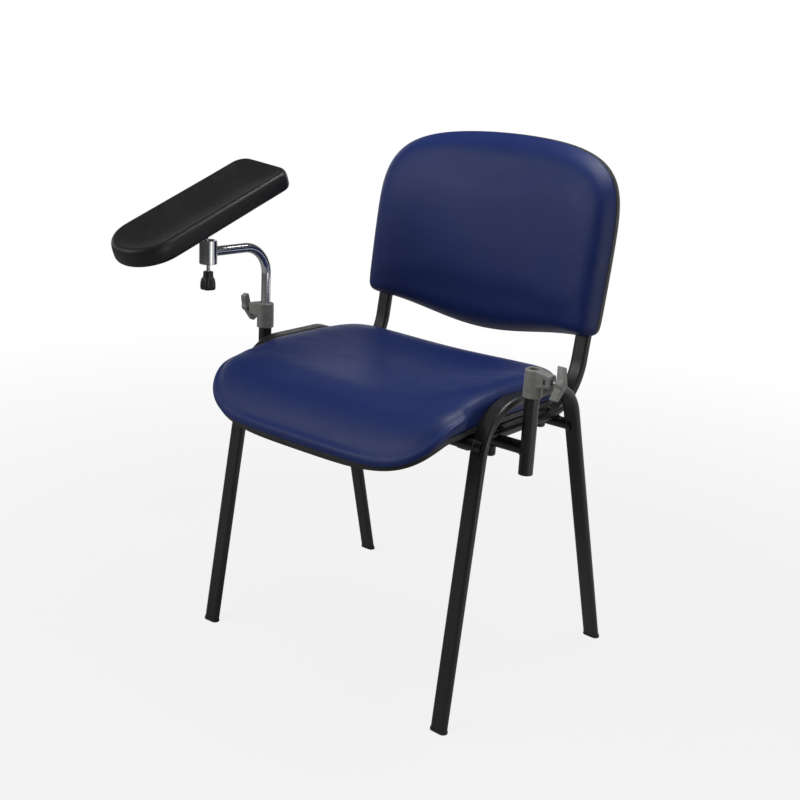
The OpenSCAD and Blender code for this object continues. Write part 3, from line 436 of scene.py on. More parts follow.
def one_rib(ends):
    """A thin tapered rib, hung under the tray between two places."""
    (x0, y0), (x1, y1) = ends
    along = Vector((x1 - x0, y1 - y0)).normalized()
    side = Vector((-along.y, along.x))
    top = RIM_Z - PAN_DIP + 0.5

    def add(build):
        rings = []
        for half, back, z in ((RIB_T / 2 + 0.3, 0, top), (RIB_T / 2, 3, top - RIB_DEPTH + 0.8),
                              (RIB_T / 2 - 0.4, 3.6, top - RIB_DEPTH)):
            a, b = Vector((x0, y0)) + along * back, Vector((x1, y1)) - along * back
            rings.append([(*(a - side * half), z), (*(b - side * half), z),
                          (*(b + side * half), z), (*(a + side * half), z)])
        loft(build, rings)
    return add


row_group, row_in = node_group("row of copies", ("Count", "Int", 5), ("Step", "Vector", None),
                               ("Material", "Material", None))
line = geometry_node(row_group, "GeometryNodeMeshLine", ("Count", row_in["Count"]),
                     ("Offset", row_in["Step"]))
copies = geometry_node(row_group, "GeometryNodeInstanceOnPoints", ("Points", line.outputs[0]),
                       ("Instance", row_in["Geometry"]))
finish_group(row_group, copies.outputs[0], row_in["Material"])
cross_ribs = lofted("cross_ribs", one_rib(((-CROSS_RIB_HALF, CROSS_RIB_Y),
                                           (CROSS_RIB_HALF, CROSS_RIB_Y))))
run_group(cross_ribs, row_group, Count=8, Step=(0, CROSS_RIB_STEP, 0), Material=moulded_black)
long_ribs = lofted("long_ribs", one_rib([(LONG_RIB_X, y) for y in LONG_RIB_ENDS]))
run_group(long_ribs, row_group, Count=9, Step=(LONG_RIB_STEP, 0, 0), Material=moulded_black)
join(seat_shell, lofted("bosses", pan_bosses), lofted("strips", rail_strips), cross_ribs, long_ribs)
settle(seat_shell, moulded_black, "frame", "black_plastic", "seat_pan")

# Seat board
# Moulded plywood lies in the tray under the foam. It only shows if the cushion is taken off.
plywood = finish("raw plywood", ((0.42, 0.27, 0.13), (0.56, 0.38, 0.2)), (0.55, 0.75),
                 ((60, 0.00025, False),), blotch=14.0, stretch=(1, 6, 60))
for node in ("seat_board", "back_board", "pad_board"):
    dress(node, plywood)

# Seat cushion
# Foam under one stretched sheet of grained navy vinyl, pulled down all round and stapled under the
# board, so it has no seam. It is hollow across, raised at the sides, and rolls over at the front.
EDGE_T, MID_T, CORNER_T = 58, 33, 34
REAR_RISE, FRONT_RISE, REAR_EDGE_FALL, DISH_POWER = 13, 4, 4, 2.6
SIDE_BULGE, FRONT_BULGE, REAR_BULGE = 1, 6.5, 2


def seat_over(x, y):
    """Thickness of the seat above the shell's lower edge."""
    across = min(1, abs(x) / SEAT_WAIST)
    middle = MID_T + REAR_RISE * ease(y, 20, 110) + FRONT_RISE * ease(y, -140, -250)
    side = (EDGE_T + (CORNER_T - EDGE_T) * ease(y, -85, -225)
            - REAR_EDGE_FALL * ease(y, 10, 100))
    return middle + (side - middle) * across ** DISH_POWER


def seat_side_ring(share, lift):
    """A ring up the cover's side, bulged by a share and lifted by a share of the thickness."""
    rows = []
    for p in seat_outline:
        out = (SIDE_BULGE + (FRONT_BULGE - SIDE_BULGE) * ease(p.y, -152, -172)
               + REAR_BULGE * ease(p.y, 85, 104))
        q = drawn_in(p, SEAT_MID, 1, -out * share)
        rows.append((q.x, q.y, rim_z(q.y) + RIM_H + lift * (seat_over(q.x, q.y) - RIM_H)))
    return rows


def seat_top_ring(scale, inset, below):
    """A ring over the top, drawn in, at a depth below the full thickness."""
    points = [drawn_in(p, SEAT_MID, scale, inset) for p in seat_outline]
    return [(p.x, p.y, rim_z(p.y) + seat_over(p.x, p.y) - below) for p in points]


EVENING_PASSES, NEAREST, NEAR_BY = 16, 8, 0.002


def swell(piece, grip, cap, voxel=0.005, pressure=4.0, steps=20, start_in=0.002,
          foam_share=0.85):
    """Cloth under pressure rounds out a remeshed twin, and the cushion takes over its moves.

    No point moves by more than the cap, nor where grip(place) says that the cover is held, and the
    foam under it takes up that share of each inward move.
    """
    twin = bpy.data.objects.new("twin", piece.data.copy())
    bpy.context.scene.collection.objects.link(twin)
    remesh = twin.modifiers.new("remesh", "REMESH")
    remesh.mode = "VOXEL"
    remesh.voxel_size = voxel
    apply_modifiers(twin)
    mesh = twin.data
    rest = np.array([v.co for v in mesh.vertices])
    outward = np.array([v.normal for v in mesh.vertices])
    held = np.array([grip((v.co - datum) * 1000) for v in mesh.vertices])
    holder = twin.vertex_groups.new(name="held")
    for v, share in zip(mesh.vertices, held):
        v.co -= v.normal * start_in * (1 - share)
        holder.add([v.index], float(share), "REPLACE")
    cloth = twin.modifiers.new("cloth", "CLOTH")
    settings = cloth.settings
    settings.quality = 6
    settings.mass = 0.4
    settings.tension_stiffness = settings.compression_stiffness = 18
    settings.shear_stiffness = 8
    settings.bending_stiffness = 3
    settings.use_pressure = True
    settings.uniform_pressure_force = pressure
    settings.vertex_group_mass = holder.name
    settings.effector_weights.gravity = 0
    for step in range(1, steps + 1):
        bpy.context.scene.frame_set(step)
    apply_modifiers(twin)
    bpy.context.scene.frame_set(1)
    mesh = twin.data
    moves = np.array([v.co for v in mesh.vertices]) - rest
    inward = np.minimum(0, (moves * outward).sum(axis=1, keepdims=True))
    moves -= outward * inward * foam_share
    lengths = np.maximum(np.linalg.norm(moves, axis=1, keepdims=True), 1e-9)
    moves *= np.minimum(1, cap / lengths)
    ends = np.array([e.vertices for e in mesh.edges])
    for _ in range(EVENING_PASSES):
        total, count = moves.copy(), np.ones((len(moves), 1))
        for here, there in ((0, 1), (1, 0)):
            np.add.at(total, ends[:, here], moves[ends[:, there]])
            np.add.at(count, ends[:, here], 1)
        moves = total / count
    places = KDTree(len(rest))
    for i, place in enumerate(rest):
        places.insert(place, i)
    places.balance()
    bpy.data.objects.remove(twin)
    for v in piece.data.vertices:
        near = [(1 / (away + NEAR_BY), moves[i])
                for _, i, away in places.find_n(v.co, NEAREST)]
        move = sum(weight * m for weight, m in near) / sum(weight for weight, _ in near)
        v.co += Vector(move) * (1 - grip((v.co - datum) * 1000))
    piece.data.update()


navy_vinyl = finish("navy vinyl", ((0.0058, 0.0145, 0.082), (0.0072, 0.018, 0.094)), (0.42, 0.49),
                    ((1100, 0.00009, True), (420, 0.00005, False), (22, 0.0006, False)),
                    blotch=5.0, smear=30.0, Specular_IOR_Level=0.28)
seat_cushion = skinned(
    "seat_cushion_cover",
    [seat_ring(0.35, 0, 8.2), seat_ring(0.7, 0, 8.2), seat_ring(1, 24, 8.2),
     seat_ring(1, PAN_WALL + 2.5, 8.2), seat_ring(1, PAN_WALL + 1.6, RIM_H),
     seat_ring(1, 2, RIM_H + 0.4), seat_ring(1, 0.2, RIM_H + 1.2),
     seat_side_ring(0.8, 0.12), seat_side_ring(1, 0.36), seat_side_ring(0.75, 0.62),
     seat_top_ring(1, 2.6, 11), seat_top_ring(1, 9, 4.9), seat_top_ring(1, 19, 1.6),
     seat_top_ring(1, 33, 0.2), seat_top_ring(1, 50, 0), seat_top_ring(0.6, 0, 0),
     seat_top_ring(0.4, 0, 0), seat_top_ring(0.2, 0, 0)],
    (*SEAT_MID, RIM_Z + 8.2), (*SEAT_MID, RIM_Z + seat_over(*SEAT_MID)))


def under_seat_rim(place):
    """1 where the cover is tucked into the shell, easing to 0 a little above its rim."""
    return 1 - ease(place.z - rim_z(place.y), RIM_H + 2, RIM_H + 12)


swell(seat_cushion, under_seat_rim, cap=0.0045)
settle(seat_cushion, navy_vinyl, "frame", "blue_vinyl", "seat_cushion")

# Back shell
# A black moulded cover hides the back of the board. It has two notches in its lower edge, where the
# back supports come up into it.
BACK_HALF_W, BACK_TOP_Z, BACK_SPRING_Z, BACK_TOP_FALL = 240, 842, 640, 0.114
BACK_LOW_Z, BACK_LOW_RISE, LOW_SWEEP_X, BACK_CORNER_X = 513, 28, 236, 226
BACK_Y, BACK_Y_Z, BACK_HOLLOW, RECLINE = 166, 547, 26, math.radians(8)
BACK_MID = Vector((0, 660))
SHELL_SIDE, SHELL_DEPTH, SHELL_WALL = 14, 23, 2.6
LOW_STEPS = 16


def back_edge_y(x, z):
    """The surface of the back's edge, reclined and hollow across its width."""
    return (BACK_Y + (z - BACK_Y_Z) * math.tan(RECLINE)
            + BACK_HOLLOW * (1 - (x / BACK_HALF_W) ** 2))


def low_edge_z(x):
    """The back's lower edge, which sweeps down to its middle."""
    sweep = math.pi * min(1, abs(x) / LOW_SWEEP_X)
    return BACK_LOW_Z + BACK_LOW_RISE * (1 - math.cos(sweep)) / 2


back_outline = []
for a in BOTH_HALVES:
    q = power_arc(a, BACK_HALF_W, BACK_TOP_Z - BACK_SPRING_Z, 5)
    back_outline.append(Vector((q.x, BACK_SPRING_Z
                                + q.y * (1 - BACK_TOP_FALL * (q.x / BACK_HALF_W) ** 2))))
back_sides = ((0.3, 610), (0.8, 575), (1.6, 556), (4.5, 547))
back_outline += [Vector((inset - BACK_HALF_W, z)) for inset, z in back_sides]
for k in range(LOW_STEPS + 1):
    x = BACK_CORNER_X * (2 * k / LOW_STEPS - 1)
    back_outline.append(Vector((x, low_edge_z(x))))
back_outline += [Vector((BACK_HALF_W - inset, z)) for inset, z in reversed(back_sides)]


def back_ring(scale, inset, behind):
    """The back's outline, drawn in, at a depth behind the surface of its edge."""
    points = [drawn_in(p, BACK_MID, scale, inset) for p in back_outline]
    return [(p.x, back_edge_y(p.x, p.y) + behind, p.y) for p in points]


def back_point(behind):
    return (BACK_MID.x, back_edge_y(*BACK_MID) + behind, BACK_MID.y)


back_shell = skinned(
    "back_cover",
    [back_ring(0.35, 0, SHELL_DEPTH), back_ring(0.65, 0, SHELL_DEPTH),
     back_ring(1, 44, SHELL_DEPTH - 0.1), back_ring(1, 36, SHELL_DEPTH - 0.3),
     back_ring(1, 34.6, SHELL_DEPTH - 0.7), back_ring(1, 33, SHELL_DEPTH - 1.7),
     back_ring(1, 31.5, SHELL_DEPTH - 1.9), back_ring(1, 24, SHELL_DEPTH - 2.3),
     back_ring(1, 10, SHELL_SIDE + 4), back_ring(1, 4, SHELL_SIDE + 1.6),
     back_ring(1, 1, SHELL_SIDE - 1.4), back_ring(1, 0, SHELL_SIDE - 5), back_ring(1, 0, 1),
     back_ring(1, 0.1, 0.4), back_ring(1, SHELL_WALL - 0.1, 0.3),
     back_ring(1, SHELL_WALL, 1), back_ring(1, SHELL_WALL + 0.4, SHELL_SIDE - 4.4),
     back_ring(1, 11.5, SHELL_SIDE + 3.8 - SHELL_WALL),
     back_ring(1, 27, SHELL_DEPTH - 0.6 - SHELL_WALL), back_ring(0.65, 0, SHELL_DEPTH - SHELL_WALL),
     back_ring(0.35, 0, SHELL_DEPTH - SHELL_WALL)],
    back_point(SHELL_DEPTH), back_point(SHELL_DEPTH - SHELL_WALL))
NOTCH_HALF_W, NOTCH_HALF_T, SUPPORT_LEAN = 14.8, 7.2, math.radians(9)
SUPPORT_Y, SUPPORT_Y_Z = 177.8, 537


def support_notches(build):
    """The room that the two back supports take through the cover's lower edge."""
    for side in (-1, 1):
        place = (Matrix.Translation((side * SUPPORT_X, SUPPORT_Y, SUPPORT_Y_Z))
                 @ Matrix.Rotation(-SUPPORT_LEAN, 4, "X"))
        round_end = [(NOTCH_HALF_W - NOTCH_HALF_T + NOTCH_HALF_T * math.cos(math.radians(a)),
                      NOTCH_HALF_T * math.sin(math.radians(a))) for a in range(-90, 91, 15)]
        section = round_end + [(-x, -y) for x, y in round_end]
        loft(build, [[place @ Vector((x, y, z)) for x, y in section] for z in (-60, 110)])


def cut_away(piece, cutter):
    """Takes the cutter's solids out of a piece."""
    cut = piece.modifiers.new("cut", "BOOLEAN")
    cut.operation = "DIFFERENCE"
    cut.solver = "EXACT"
    cut.object = cutter
    apply_modifiers(piece)
    bpy.data.objects.remove(cutter)


cut_away(back_shell, lofted("notches", support_notches))
settle(back_shell, moulded_black, "frame", "black_plastic", "back_shell")

# Back cushion
# The same navy vinyl over a crowned slab of foam. The cover draws in along the edge, where it is
# pulled round the board and stapled behind it.
BACK_CUSHION_T, CROWN_Z, CROWN_HALF_H = 38, 680, 165
CROWN_END_FALL, CROWN_SIDE_FALL = 0.14, 0.1


def back_top_ring(scale, inset, share):
    """A ring over the cushion's face, drawn in, at a share of the crown's height."""
    rows = []
    for p in back_outline:
        q = drawn_in(p, BACK_MID, scale, inset)
        up, across = (q.y - CROWN_Z) / CROWN_HALF_H, q.x / BACK_HALF_W
        crown = (BACK_CUSHION_T * (1 - CROWN_END_FALL * up * up)
                 * (1 - CROWN_SIDE_FALL * across * across))
        rows.append((q.x, back_edge_y(q.x, q.y) - share * crown, q.y))
    return rows


back_cushion = skinned(
    "back_cushion_cover",
    [back_ring(0.35, 0, -8.6), back_ring(0.7, 0, -8.6), back_ring(1, 6.5, -8.6),
     back_ring(1, 5.8, -0.4), back_ring(1, 1.6, -0.3), back_ring(1, 0.1, -1.4),
     back_ring(1, 0, -3), back_top_ring(1, 1.6, 0.2), back_top_ring(1, 5, 0.38),
     back_top_ring(1, 10, 0.6), back_top_ring(1, 18, 0.84), back_top_ring(1, 30, 0.965),
     back_top_ring(1, 46, 1), back_top_ring(1, 66, 1), back_top_ring(0.5, 0, 1),
     back_top_ring(0.33, 0, 1), back_top_ring(0.16, 0, 1)],
    back_point(-8.6), back_top_ring(0, 0, 1)[0])


def behind_back_edge(place):
    """1 where the cover is pulled round the board, easing to 0 in front of its edge."""
    return 1 - ease(back_edge_y(place.x, place.z) - place.y, 2, 9)


swell(back_cushion, behind_back_edge, cap=0.0045)
settle(back_cushion, navy_vinyl, "frame", "blue_vinyl", "back_cushion")

# Welds
# Short beads join the cross bars, the back supports and the socket arms to one another, under the
# same powder coat. A row of small overlapping drops follows each joint.
WELD_PITCH, WELD_SIZE, WELD_SEED = 0.0017, 0.0013, 7
FRONT_BAR, REAR_BAR, BAR_R = (-143, 431), (104, 411.6), 9
BAR_ENDS = ((234.4, FRONT_BAR), (240.3, REAR_BAR))
SOCKET_X, SOCKET_Y, SOCKET_R = 274, -67, 11
SOCKET_ARM_Z, SOCKET_ARM_R = 418.5, 10
WELD_OUT, FRONT_BEAD_HALF, REAR_BEAD_HALF = 0.4, 11, 12
REAR_SUPPORT_WELDS = ((97.6, 418.3), (106.6, 420.2))
weld_turns = [math.radians(12 * k) for k in range(31)]

weld_paths = []
for side in (-1, 1):
    for x, (y, z) in BAR_ENDS:
        r = BAR_R + WELD_OUT
        weld_paths.append([(side * x, y + r * math.cos(a), z + r * math.sin(a))
                           for a in weld_turns])
    ring = [((SOCKET_ARM_R + WELD_OUT) * math.cos(a), (SOCKET_ARM_R + WELD_OUT) * math.sin(a))
            for a in weld_turns]
    weld_paths.append([(side * (SOCKET_X - math.sqrt((SOCKET_R + 0.3) ** 2 - y * y)),
                        SOCKET_Y + y, SOCKET_ARM_Z + z) for y, z in ring])
    weld_paths.append([(side * SUPPORT_X + x, FRONT_BAR[0] + BAR_R + 0.3, RAIL_TOP_Z + WELD_OUT)
                       for x in (-FRONT_BEAD_HALF, 0, FRONT_BEAD_HALF)])
    for y, z in REAR_SUPPORT_WELDS:
        weld_paths.append([(side * SUPPORT_X + x, y, z)
                           for x in (-REAR_BEAD_HALF, 0, REAR_BEAD_HALF)])
weld_mesh = bpy.data.meshes.new("weld_beads")
weld_points, weld_edges = [], []
for path in weld_paths:
    weld_edges += [(len(weld_points) + k, len(weld_points) + k + 1) for k in range(len(path) - 1)]
    weld_points += [tuple(at_chair(*p)) for p in path]
weld_mesh.from_pydata(weld_points, weld_edges, [])
welds = add_piece("weld_beads", weld_mesh)
bead_group, bead_in = node_group("weld beads", ("Pitch", "Float", 0.002), ("Size", "Float", 0.001),
                                 ("Seed", "Int", 1), ("Material", "Material", None))
path = geometry_node(bead_group, "GeometryNodeMeshToCurve", ("Mesh", bead_in["Geometry"]))
dots = bead_group.nodes.new("GeometryNodeResampleCurve")
dots.mode = "LENGTH"
bead_group.links.new(path.outputs[0], dots.inputs["Curve"])
bead_group.links.new(bead_in["Pitch"], dots.inputs["Length"])
drop = geometry_node(bead_group, "GeometryNodeMeshIcoSphere", ("Radius", bead_in["Size"]),
                     ("Subdivisions", 2))
vary = bead_group.nodes.new("FunctionNodeRandomValue")
vary.data_type = "FLOAT_VECTOR"
vary.inputs["Min"].default_value = (0.85, 0.85, 0.8)
vary.inputs["Max"].default_value = (1.2, 1.2, 1.1)
bead_group.links.new(bead_in["Seed"], vary.inputs["Seed"])
drops = geometry_node(bead_group, "GeometryNodeInstanceOnPoints", ("Points", dots.outputs[0]),
                      ("Instance", drop.outputs[0]), ("Scale", vary.outputs["Value"]))
finish_group(bead_group, drops.outputs[0], bead_in["Material"])
run_group(welds, bead_group, Pitch=WELD_PITCH, Size=WELD_SIZE, Seed=WELD_SEED,
          Material=powder_coat)
settle(welds, powder_coat, "frame", "black_steel")

# Clamp collars
# A grey glass-filled nylon moulding caps each socket tube. Its boss tapers out to the wing screw,
# and the nut lies in the boss, behind a small window. The nylon shows a faint flow of the fibres.
COLLAR_LOW_Z, COLLAR_TOP_Z, SOCKET_TOP_Z, SCREW_Z = 498.5, 541, 520.5, 527
COLLAR_PROFILE = ((13.9, 0), (14.5, 0.7), (14.55, 2.6), (14.35, 3.3), (14.3, 15.5), (14.2, 30),
                  (13.9, 40.4), (13.4, 41.9), (12.4, 42.5))
BOSS_SECTIONS = ((5, 10.5, 514.5, 541), (13, 10.3, 515, 540.6), (20, 9.6, 516, 539.4),
                 (27, 9.1, 517, 537.6), (31.2, 9, 517.2, 537), (32, 8.4, 518, 536.2))
ARM_BORE_R, TUBE_BORE_R, SCREW_BORE_R = 8.25, 11.08, 4.3
NUT_OUT, NUT_T, NUT_W = 24, 6.8, 13.2
NUT_POCKET = (NUT_T / 2, NUT_W / 2, -6.7, 6.7)
NUT_WINDOW = (2.6, 3.9, -14, -6)

moulded_grey = finish("grey glass-filled nylon", ((0.14, 0.14, 0.134), (0.19, 0.189, 0.181)),
                      (0.42, 0.55), ((1300, 0.00008, False), (220, 0.00012, False)), blotch=90.0,
                      wear=((0.26, 0.26, 0.25), 110.0, 0.22))
bright_zinc = finish("bright zinc plate", ((0.36, 0.37, 0.38), (0.5, 0.5, 0.49)), (0.28, 0.4),
                     ((700, 0.00003, False),), blotch=80.0, Metallic=1.0)


def at_socket(side):
    """The socket's own place, with local X pointing out from the chair."""
    turn = Matrix.Rotation(0 if side > 0 else math.pi, 4, "Z")
    return Matrix.Translation((side * SOCKET_X, SOCKET_Y, 0)) @ turn


def round_section(x, half_w, low, high, corner=3.2, steps=5):
    """A rounded rectangle across the local X axis."""
    points = []
    for sy, sz, first in ((1, 1, 0), (-1, 1, 90), (-1, -1, 180), (1, -1, 270)):
        for k in range(steps + 1):
            a = math.radians(first + 90 * k / steps)
            points.append((x, sy * (half_w - corner) + corner * math.cos(a),
                           (high if sz > 0 else low) - sz * corner + corner * math.sin(a)))
    return points


def moulded(piece, voxel=0.0005, passes=3):
    """Fuses a piece's solids into one skin and softens its edges, as a mould leaves them."""
    fuse = piece.modifiers.new("fuse", "REMESH")
    fuse.mode = "VOXEL"
    fuse.voxel_size = voxel
    if passes:
        soften = piece.modifiers.new("soften", "SMOOTH")
        soften.factor = 0.5
        soften.iterations = passes
    apply_modifiers(piece)


for side, word in ((-1, "right"), (1, "left")):
    here = at_socket(side)
    collar = lofted(
        word + "_collar_moulding",
        lambda build: turned(build, here @ Matrix.Translation((0, 0, COLLAR_LOW_Z)),
                             COLLAR_PROFILE, 64),
        lambda build: loft(build, [[here @ Vector(p) for p in round_section(*s)]
                                   for s in BOSS_SECTIONS]))
    moulded(collar, 0.0006, 0)
    along = here @ Matrix.Translation((0, 0, SCREW_Z)) @ Matrix.Rotation(math.pi / 2, 4, "Y")
    bore = lofted("bore", lambda build: turned(build, here, (
        (TUBE_BORE_R, COLLAR_LOW_Z - 2), (TUBE_BORE_R, SOCKET_TOP_Z + 0.2),
        (ARM_BORE_R, SOCKET_TOP_Z + 0.2), (ARM_BORE_R, COLLAR_TOP_Z - 1.2),
        (ARM_BORE_R + 1.2, COLLAR_TOP_Z + 1), (ARM_BORE_R + 1.2, COLLAR_TOP_Z + 3)), 64))
    cut_away(collar, bore)
    screw_way = lofted("screw_way", lambda build: turned(build, along, (
        (SCREW_BORE_R, 0), (SCREW_BORE_R, 40))))
    cut_away(collar, screw_way)
    for half_x, half_z, y0, y1 in (NUT_POCKET, NUT_WINDOW):
        cut_away(collar, lofted("pocket", lambda build: loft(build, [[
            here @ Vector((NUT_OUT + sx * half_x, y, SCREW_Z + sz * half_z))
            for sx, sz in ((-1, -1), (1, -1), (1, 1), (-1, 1))] for y in (y0, y1)])))
    moulded(collar, 0.0005, 2)
    settle(collar, moulded_grey, "frame", "grey_plastic", word + "_clamp_collar")
for node in ("right_clamp_nut", "left_clamp_nut", "right_clamp_screw", "left_clamp_screw",
             "seat_bolts", "back_bolts", "lock_screw", "pad_screws"):
    dress(node, bright_zinc)

# Wing knobs
# The same grey nylon is moulded on to the head of each clamp screw: a round hub with two flat wings
# swept back towards the collar.
KNOB_FACE = 39
HUB_PROFILE = ((7.2, 0), (8, 0.8), (8.6, 9.5), (8.2, 12), (6.8, 13), (2, 13))
WING_SECTIONS = ((1, 5.4, 1, 12.8), (9, 5.6, -0.2, 11.6), (18, 5.4, -2.2, 9),
                 (24, 5.1, -3.6, 7), (25.2, 4.6, -3.3, 6.4))
WING_TURN = {"right": -26, "left": -18}

for side, word in ((-1, "right"), (1, "left")):
    face = (at_socket(side) @ Matrix.Translation((KNOB_FACE, 0, SCREW_Z))
            @ Matrix.Rotation(math.radians(WING_TURN[word]), 4, "X")
            @ Matrix.Rotation(math.pi / 2, 4, "Y"))

    def wings(build):
        for end in (-1, 1):
            loft(build, [[face @ Vector((end * r, w, z)) for w, z in (
                (-half, low), (half, low), (half - 0.5, high), (0.5 - half, high))]
                for r, half, low, high in WING_SECTIONS])

    knob = lofted(word + "_wing_moulding", lambda build: turned(build, face, HUB_PROFILE), wings)
    moulded(knob, 0.00045, 3)
    settle(knob, moulded_grey, word + "_clamp", "grey_plastic", word + "_wing_knob")

# Chrome arm
# The arm is bent round tube, brazed to a turned barrel, and both are polished and chrome plated.
chrome_plate = finish("polished chrome", ((0.54, 0.54, 0.55), (0.64, 0.64, 0.65)), (0.1, 0.17),
                      ((30, 0.00012, False), (500, 0.000004, False)), Metallic=1.0)
for node in ("arm_tube", "ball_housing", "ball_stud"):
    dress(node, chrome_plate)
natural_nylon = finish("natural nylon", ((0.72, 0.69, 0.62), (0.82, 0.79, 0.72)), (0.38, 0.5),
                       ((600, 0.00003, False),), Subsurface_Weight=0.1)
for node in ("arm_glide", "pressure_pad", "ball_seat"):
    dress(node, natural_nylon)

# Lock knob
# A five-lobed black grip is moulded on to the lock screw, under a round neck.
HOUSING = Matrix.Translation(Vector((-SOCKET_X, SOCKET_Y, 0)) + Matrix.Rotation(
    -math.radians(3), 4, "Z") @ Vector((0, -125, 0)))
KNOB_RINGS = ((577.5, 7, 0.7), (577.8, 10, 0.9), (579, 12.4, 1), (583, 13, 1), (590, 12.6, 1),
              (595.5, 11.6, 0.85), (598, 9.6, 0.3), (599.2, 8.3, 0), (606.8, 8.1, 0),
              (608, 7.4, 0), (608, 3.1, 0))
LOBE_TURN, LOBE_SHARE = 20, 0.22
satin_black = finish("satin black moulding", ((0.01, 0.01, 0.01), (0.016, 0.016, 0.016)),
                     (0.36, 0.48), ((900, 0.00005, False),), blotch=50.0)


def lobed_ring(height, radius, lobed):
    """A ring that swells into five lobes."""
    ring = []
    for k in range(80):
        a = 2 * math.pi * k / 80
        lobe = (0.5 + 0.5 * math.cos(5 * (a - math.radians(LOBE_TURN)))) ** 0.6
        r = radius * (1 - LOBE_SHARE * lobed * (1 - lobe))
        ring.append(HOUSING @ Vector((r * math.cos(a), r * math.sin(a), height)))
    return ring


grip = lofted("lock_grip", lambda build: loft(build, [lobed_ring(*r) for r in KNOB_RINGS]))
moulded(grip, 0.0004, 2)
settle(grip, satin_black, "lock", "black_plastic", "lock_knob")

# Plug and bolt caps
# The same black plastic is moulded as a plug in the arm tube and as caps over the seat bolts.
for node in ("arm_tube_plug", "seat_bolt_caps"):
    dress(node, satin_black)

# Arm pad
# Polyurethane foam moulded round the plywood, with its own black skin, a rounded rim and a hollow
# along the top that cradles the forearm.
PAD_LEN, PAD_W, PAD_T, PAD_NOSE, PAD_CORNER_R, PAD_DISH = 313, 122, 30.5, 60, 24, 9
PAD_R = PAD_W / 2
PAD_LIFT, PAD_SHIFT = 49.2, -1.5
BOARD_T, PAD_WALL = 9, 10
PAD_SIDE_Y = (-60, -25, 10, 45, 80)
NOSE_STEPS, CORNER_STEPS = 20, 8
ARM_REACH, ARM_SWING = 125, math.radians(3)
PAD_YAW, PAD_PITCH, PAD_ROLL = math.radians(-4), math.radians(22.6), math.radians(5.3)
BALL_Z = 648

pad_outline = [Vector((-PAD_R * math.cos(math.pi * k / NOSE_STEPS),
                       PAD_NOSE * (1 - math.sin(math.pi * k / NOSE_STEPS)) - PAD_LEN / 2))
               for k in range(NOSE_STEPS + 1)]
pad_outline += [Vector((PAD_R, y)) for y in PAD_SIDE_Y]
for side, first_turn in ((1, 0), (-1, 90)):
    pad_outline += [Vector((side * (PAD_R - PAD_CORNER_R) + PAD_CORNER_R * math.cos(a),
                            PAD_LEN / 2 - PAD_CORNER_R + PAD_CORNER_R * math.sin(a)))
                    for a in (math.radians(first_turn + 90 * k / CORNER_STEPS)
                              for k in range(CORNER_STEPS + 1))]
pad_outline += [Vector((-PAD_R, y)) for y in reversed(PAD_SIDE_Y)]
ball_place = Vector((-SOCKET_X - ARM_REACH * math.sin(ARM_SWING),
                     SOCKET_Y - ARM_REACH * math.cos(ARM_SWING), BALL_Z))
on_pad = (Matrix.Translation(ball_place) @ Matrix.Rotation(PAD_YAW, 4, "Z")
          @ Matrix.Rotation(PAD_PITCH, 4, "X") @ Matrix.Rotation(PAD_ROLL, 4, "Y"))


def pad_ring(inset, height, share=None):
    """The pad's outline drawn in towards its middle line, by a distance or to a share of itself."""
    ring = []
    for p in pad_outline:
        core = Vector((0, min(PAD_LEN / 2 - PAD_R, max(PAD_NOSE - PAD_LEN / 2, p.y))))
        v = p - core
        q = core + (v * share if share is not None else v * (1 - inset / v.length))
        ring.append(tuple(on_pad @ Vector((q.x, q.y + PAD_SHIFT, PAD_LIFT + height))))
    return ring


black_skin = finish("black self-skinned foam", ((0.0085, 0.0085, 0.0088), (0.012, 0.012, 0.0125)),
                    (0.34, 0.44), ((1000, 0.0001, True), (90, 0.00015, False)), blotch=12.0,
                    Specular_IOR_Level=0.32)
arm_pad = skinned(
    "arm_pad_foam",
    [pad_ring(0, BOARD_T + 0.2, 0.3), pad_ring(PAD_WALL + 3, BOARD_T + 0.2),
     pad_ring(PAD_WALL, BOARD_T + 0.2), pad_ring(PAD_WALL - 0.2, BOARD_T - 1),
     pad_ring(PAD_WALL - 0.2, 0.4), pad_ring(PAD_WALL - 1, 0.1), pad_ring(4.6, 0),
     pad_ring(1.4, 1.1), pad_ring(0, 4.5), pad_ring(0, 10), pad_ring(0, PAD_T - 13),
     pad_ring(0.7, PAD_T - 7.5), pad_ring(2.6, PAD_T - 3), pad_ring(5.6, PAD_T - 0.6),
     pad_ring(9, PAD_T), pad_ring(12.5, PAD_T - 0.9), pad_ring(17, PAD_T - 2.6),
     pad_ring(0, PAD_T - PAD_DISH * 0.6, 0.58), pad_ring(0, PAD_T - PAD_DISH * 0.85, 0.4),
     pad_ring(0, PAD_T - PAD_DISH, 0.18)],
    tuple(on_pad @ Vector((0, PAD_SHIFT, PAD_LIFT + BOARD_T + 0.2))),
    tuple(on_pad @ Vector((0, PAD_SHIFT, PAD_LIFT + PAD_T - PAD_DISH))))
settle(arm_pad, black_skin, "pad", "black_skin", "arm_pad")

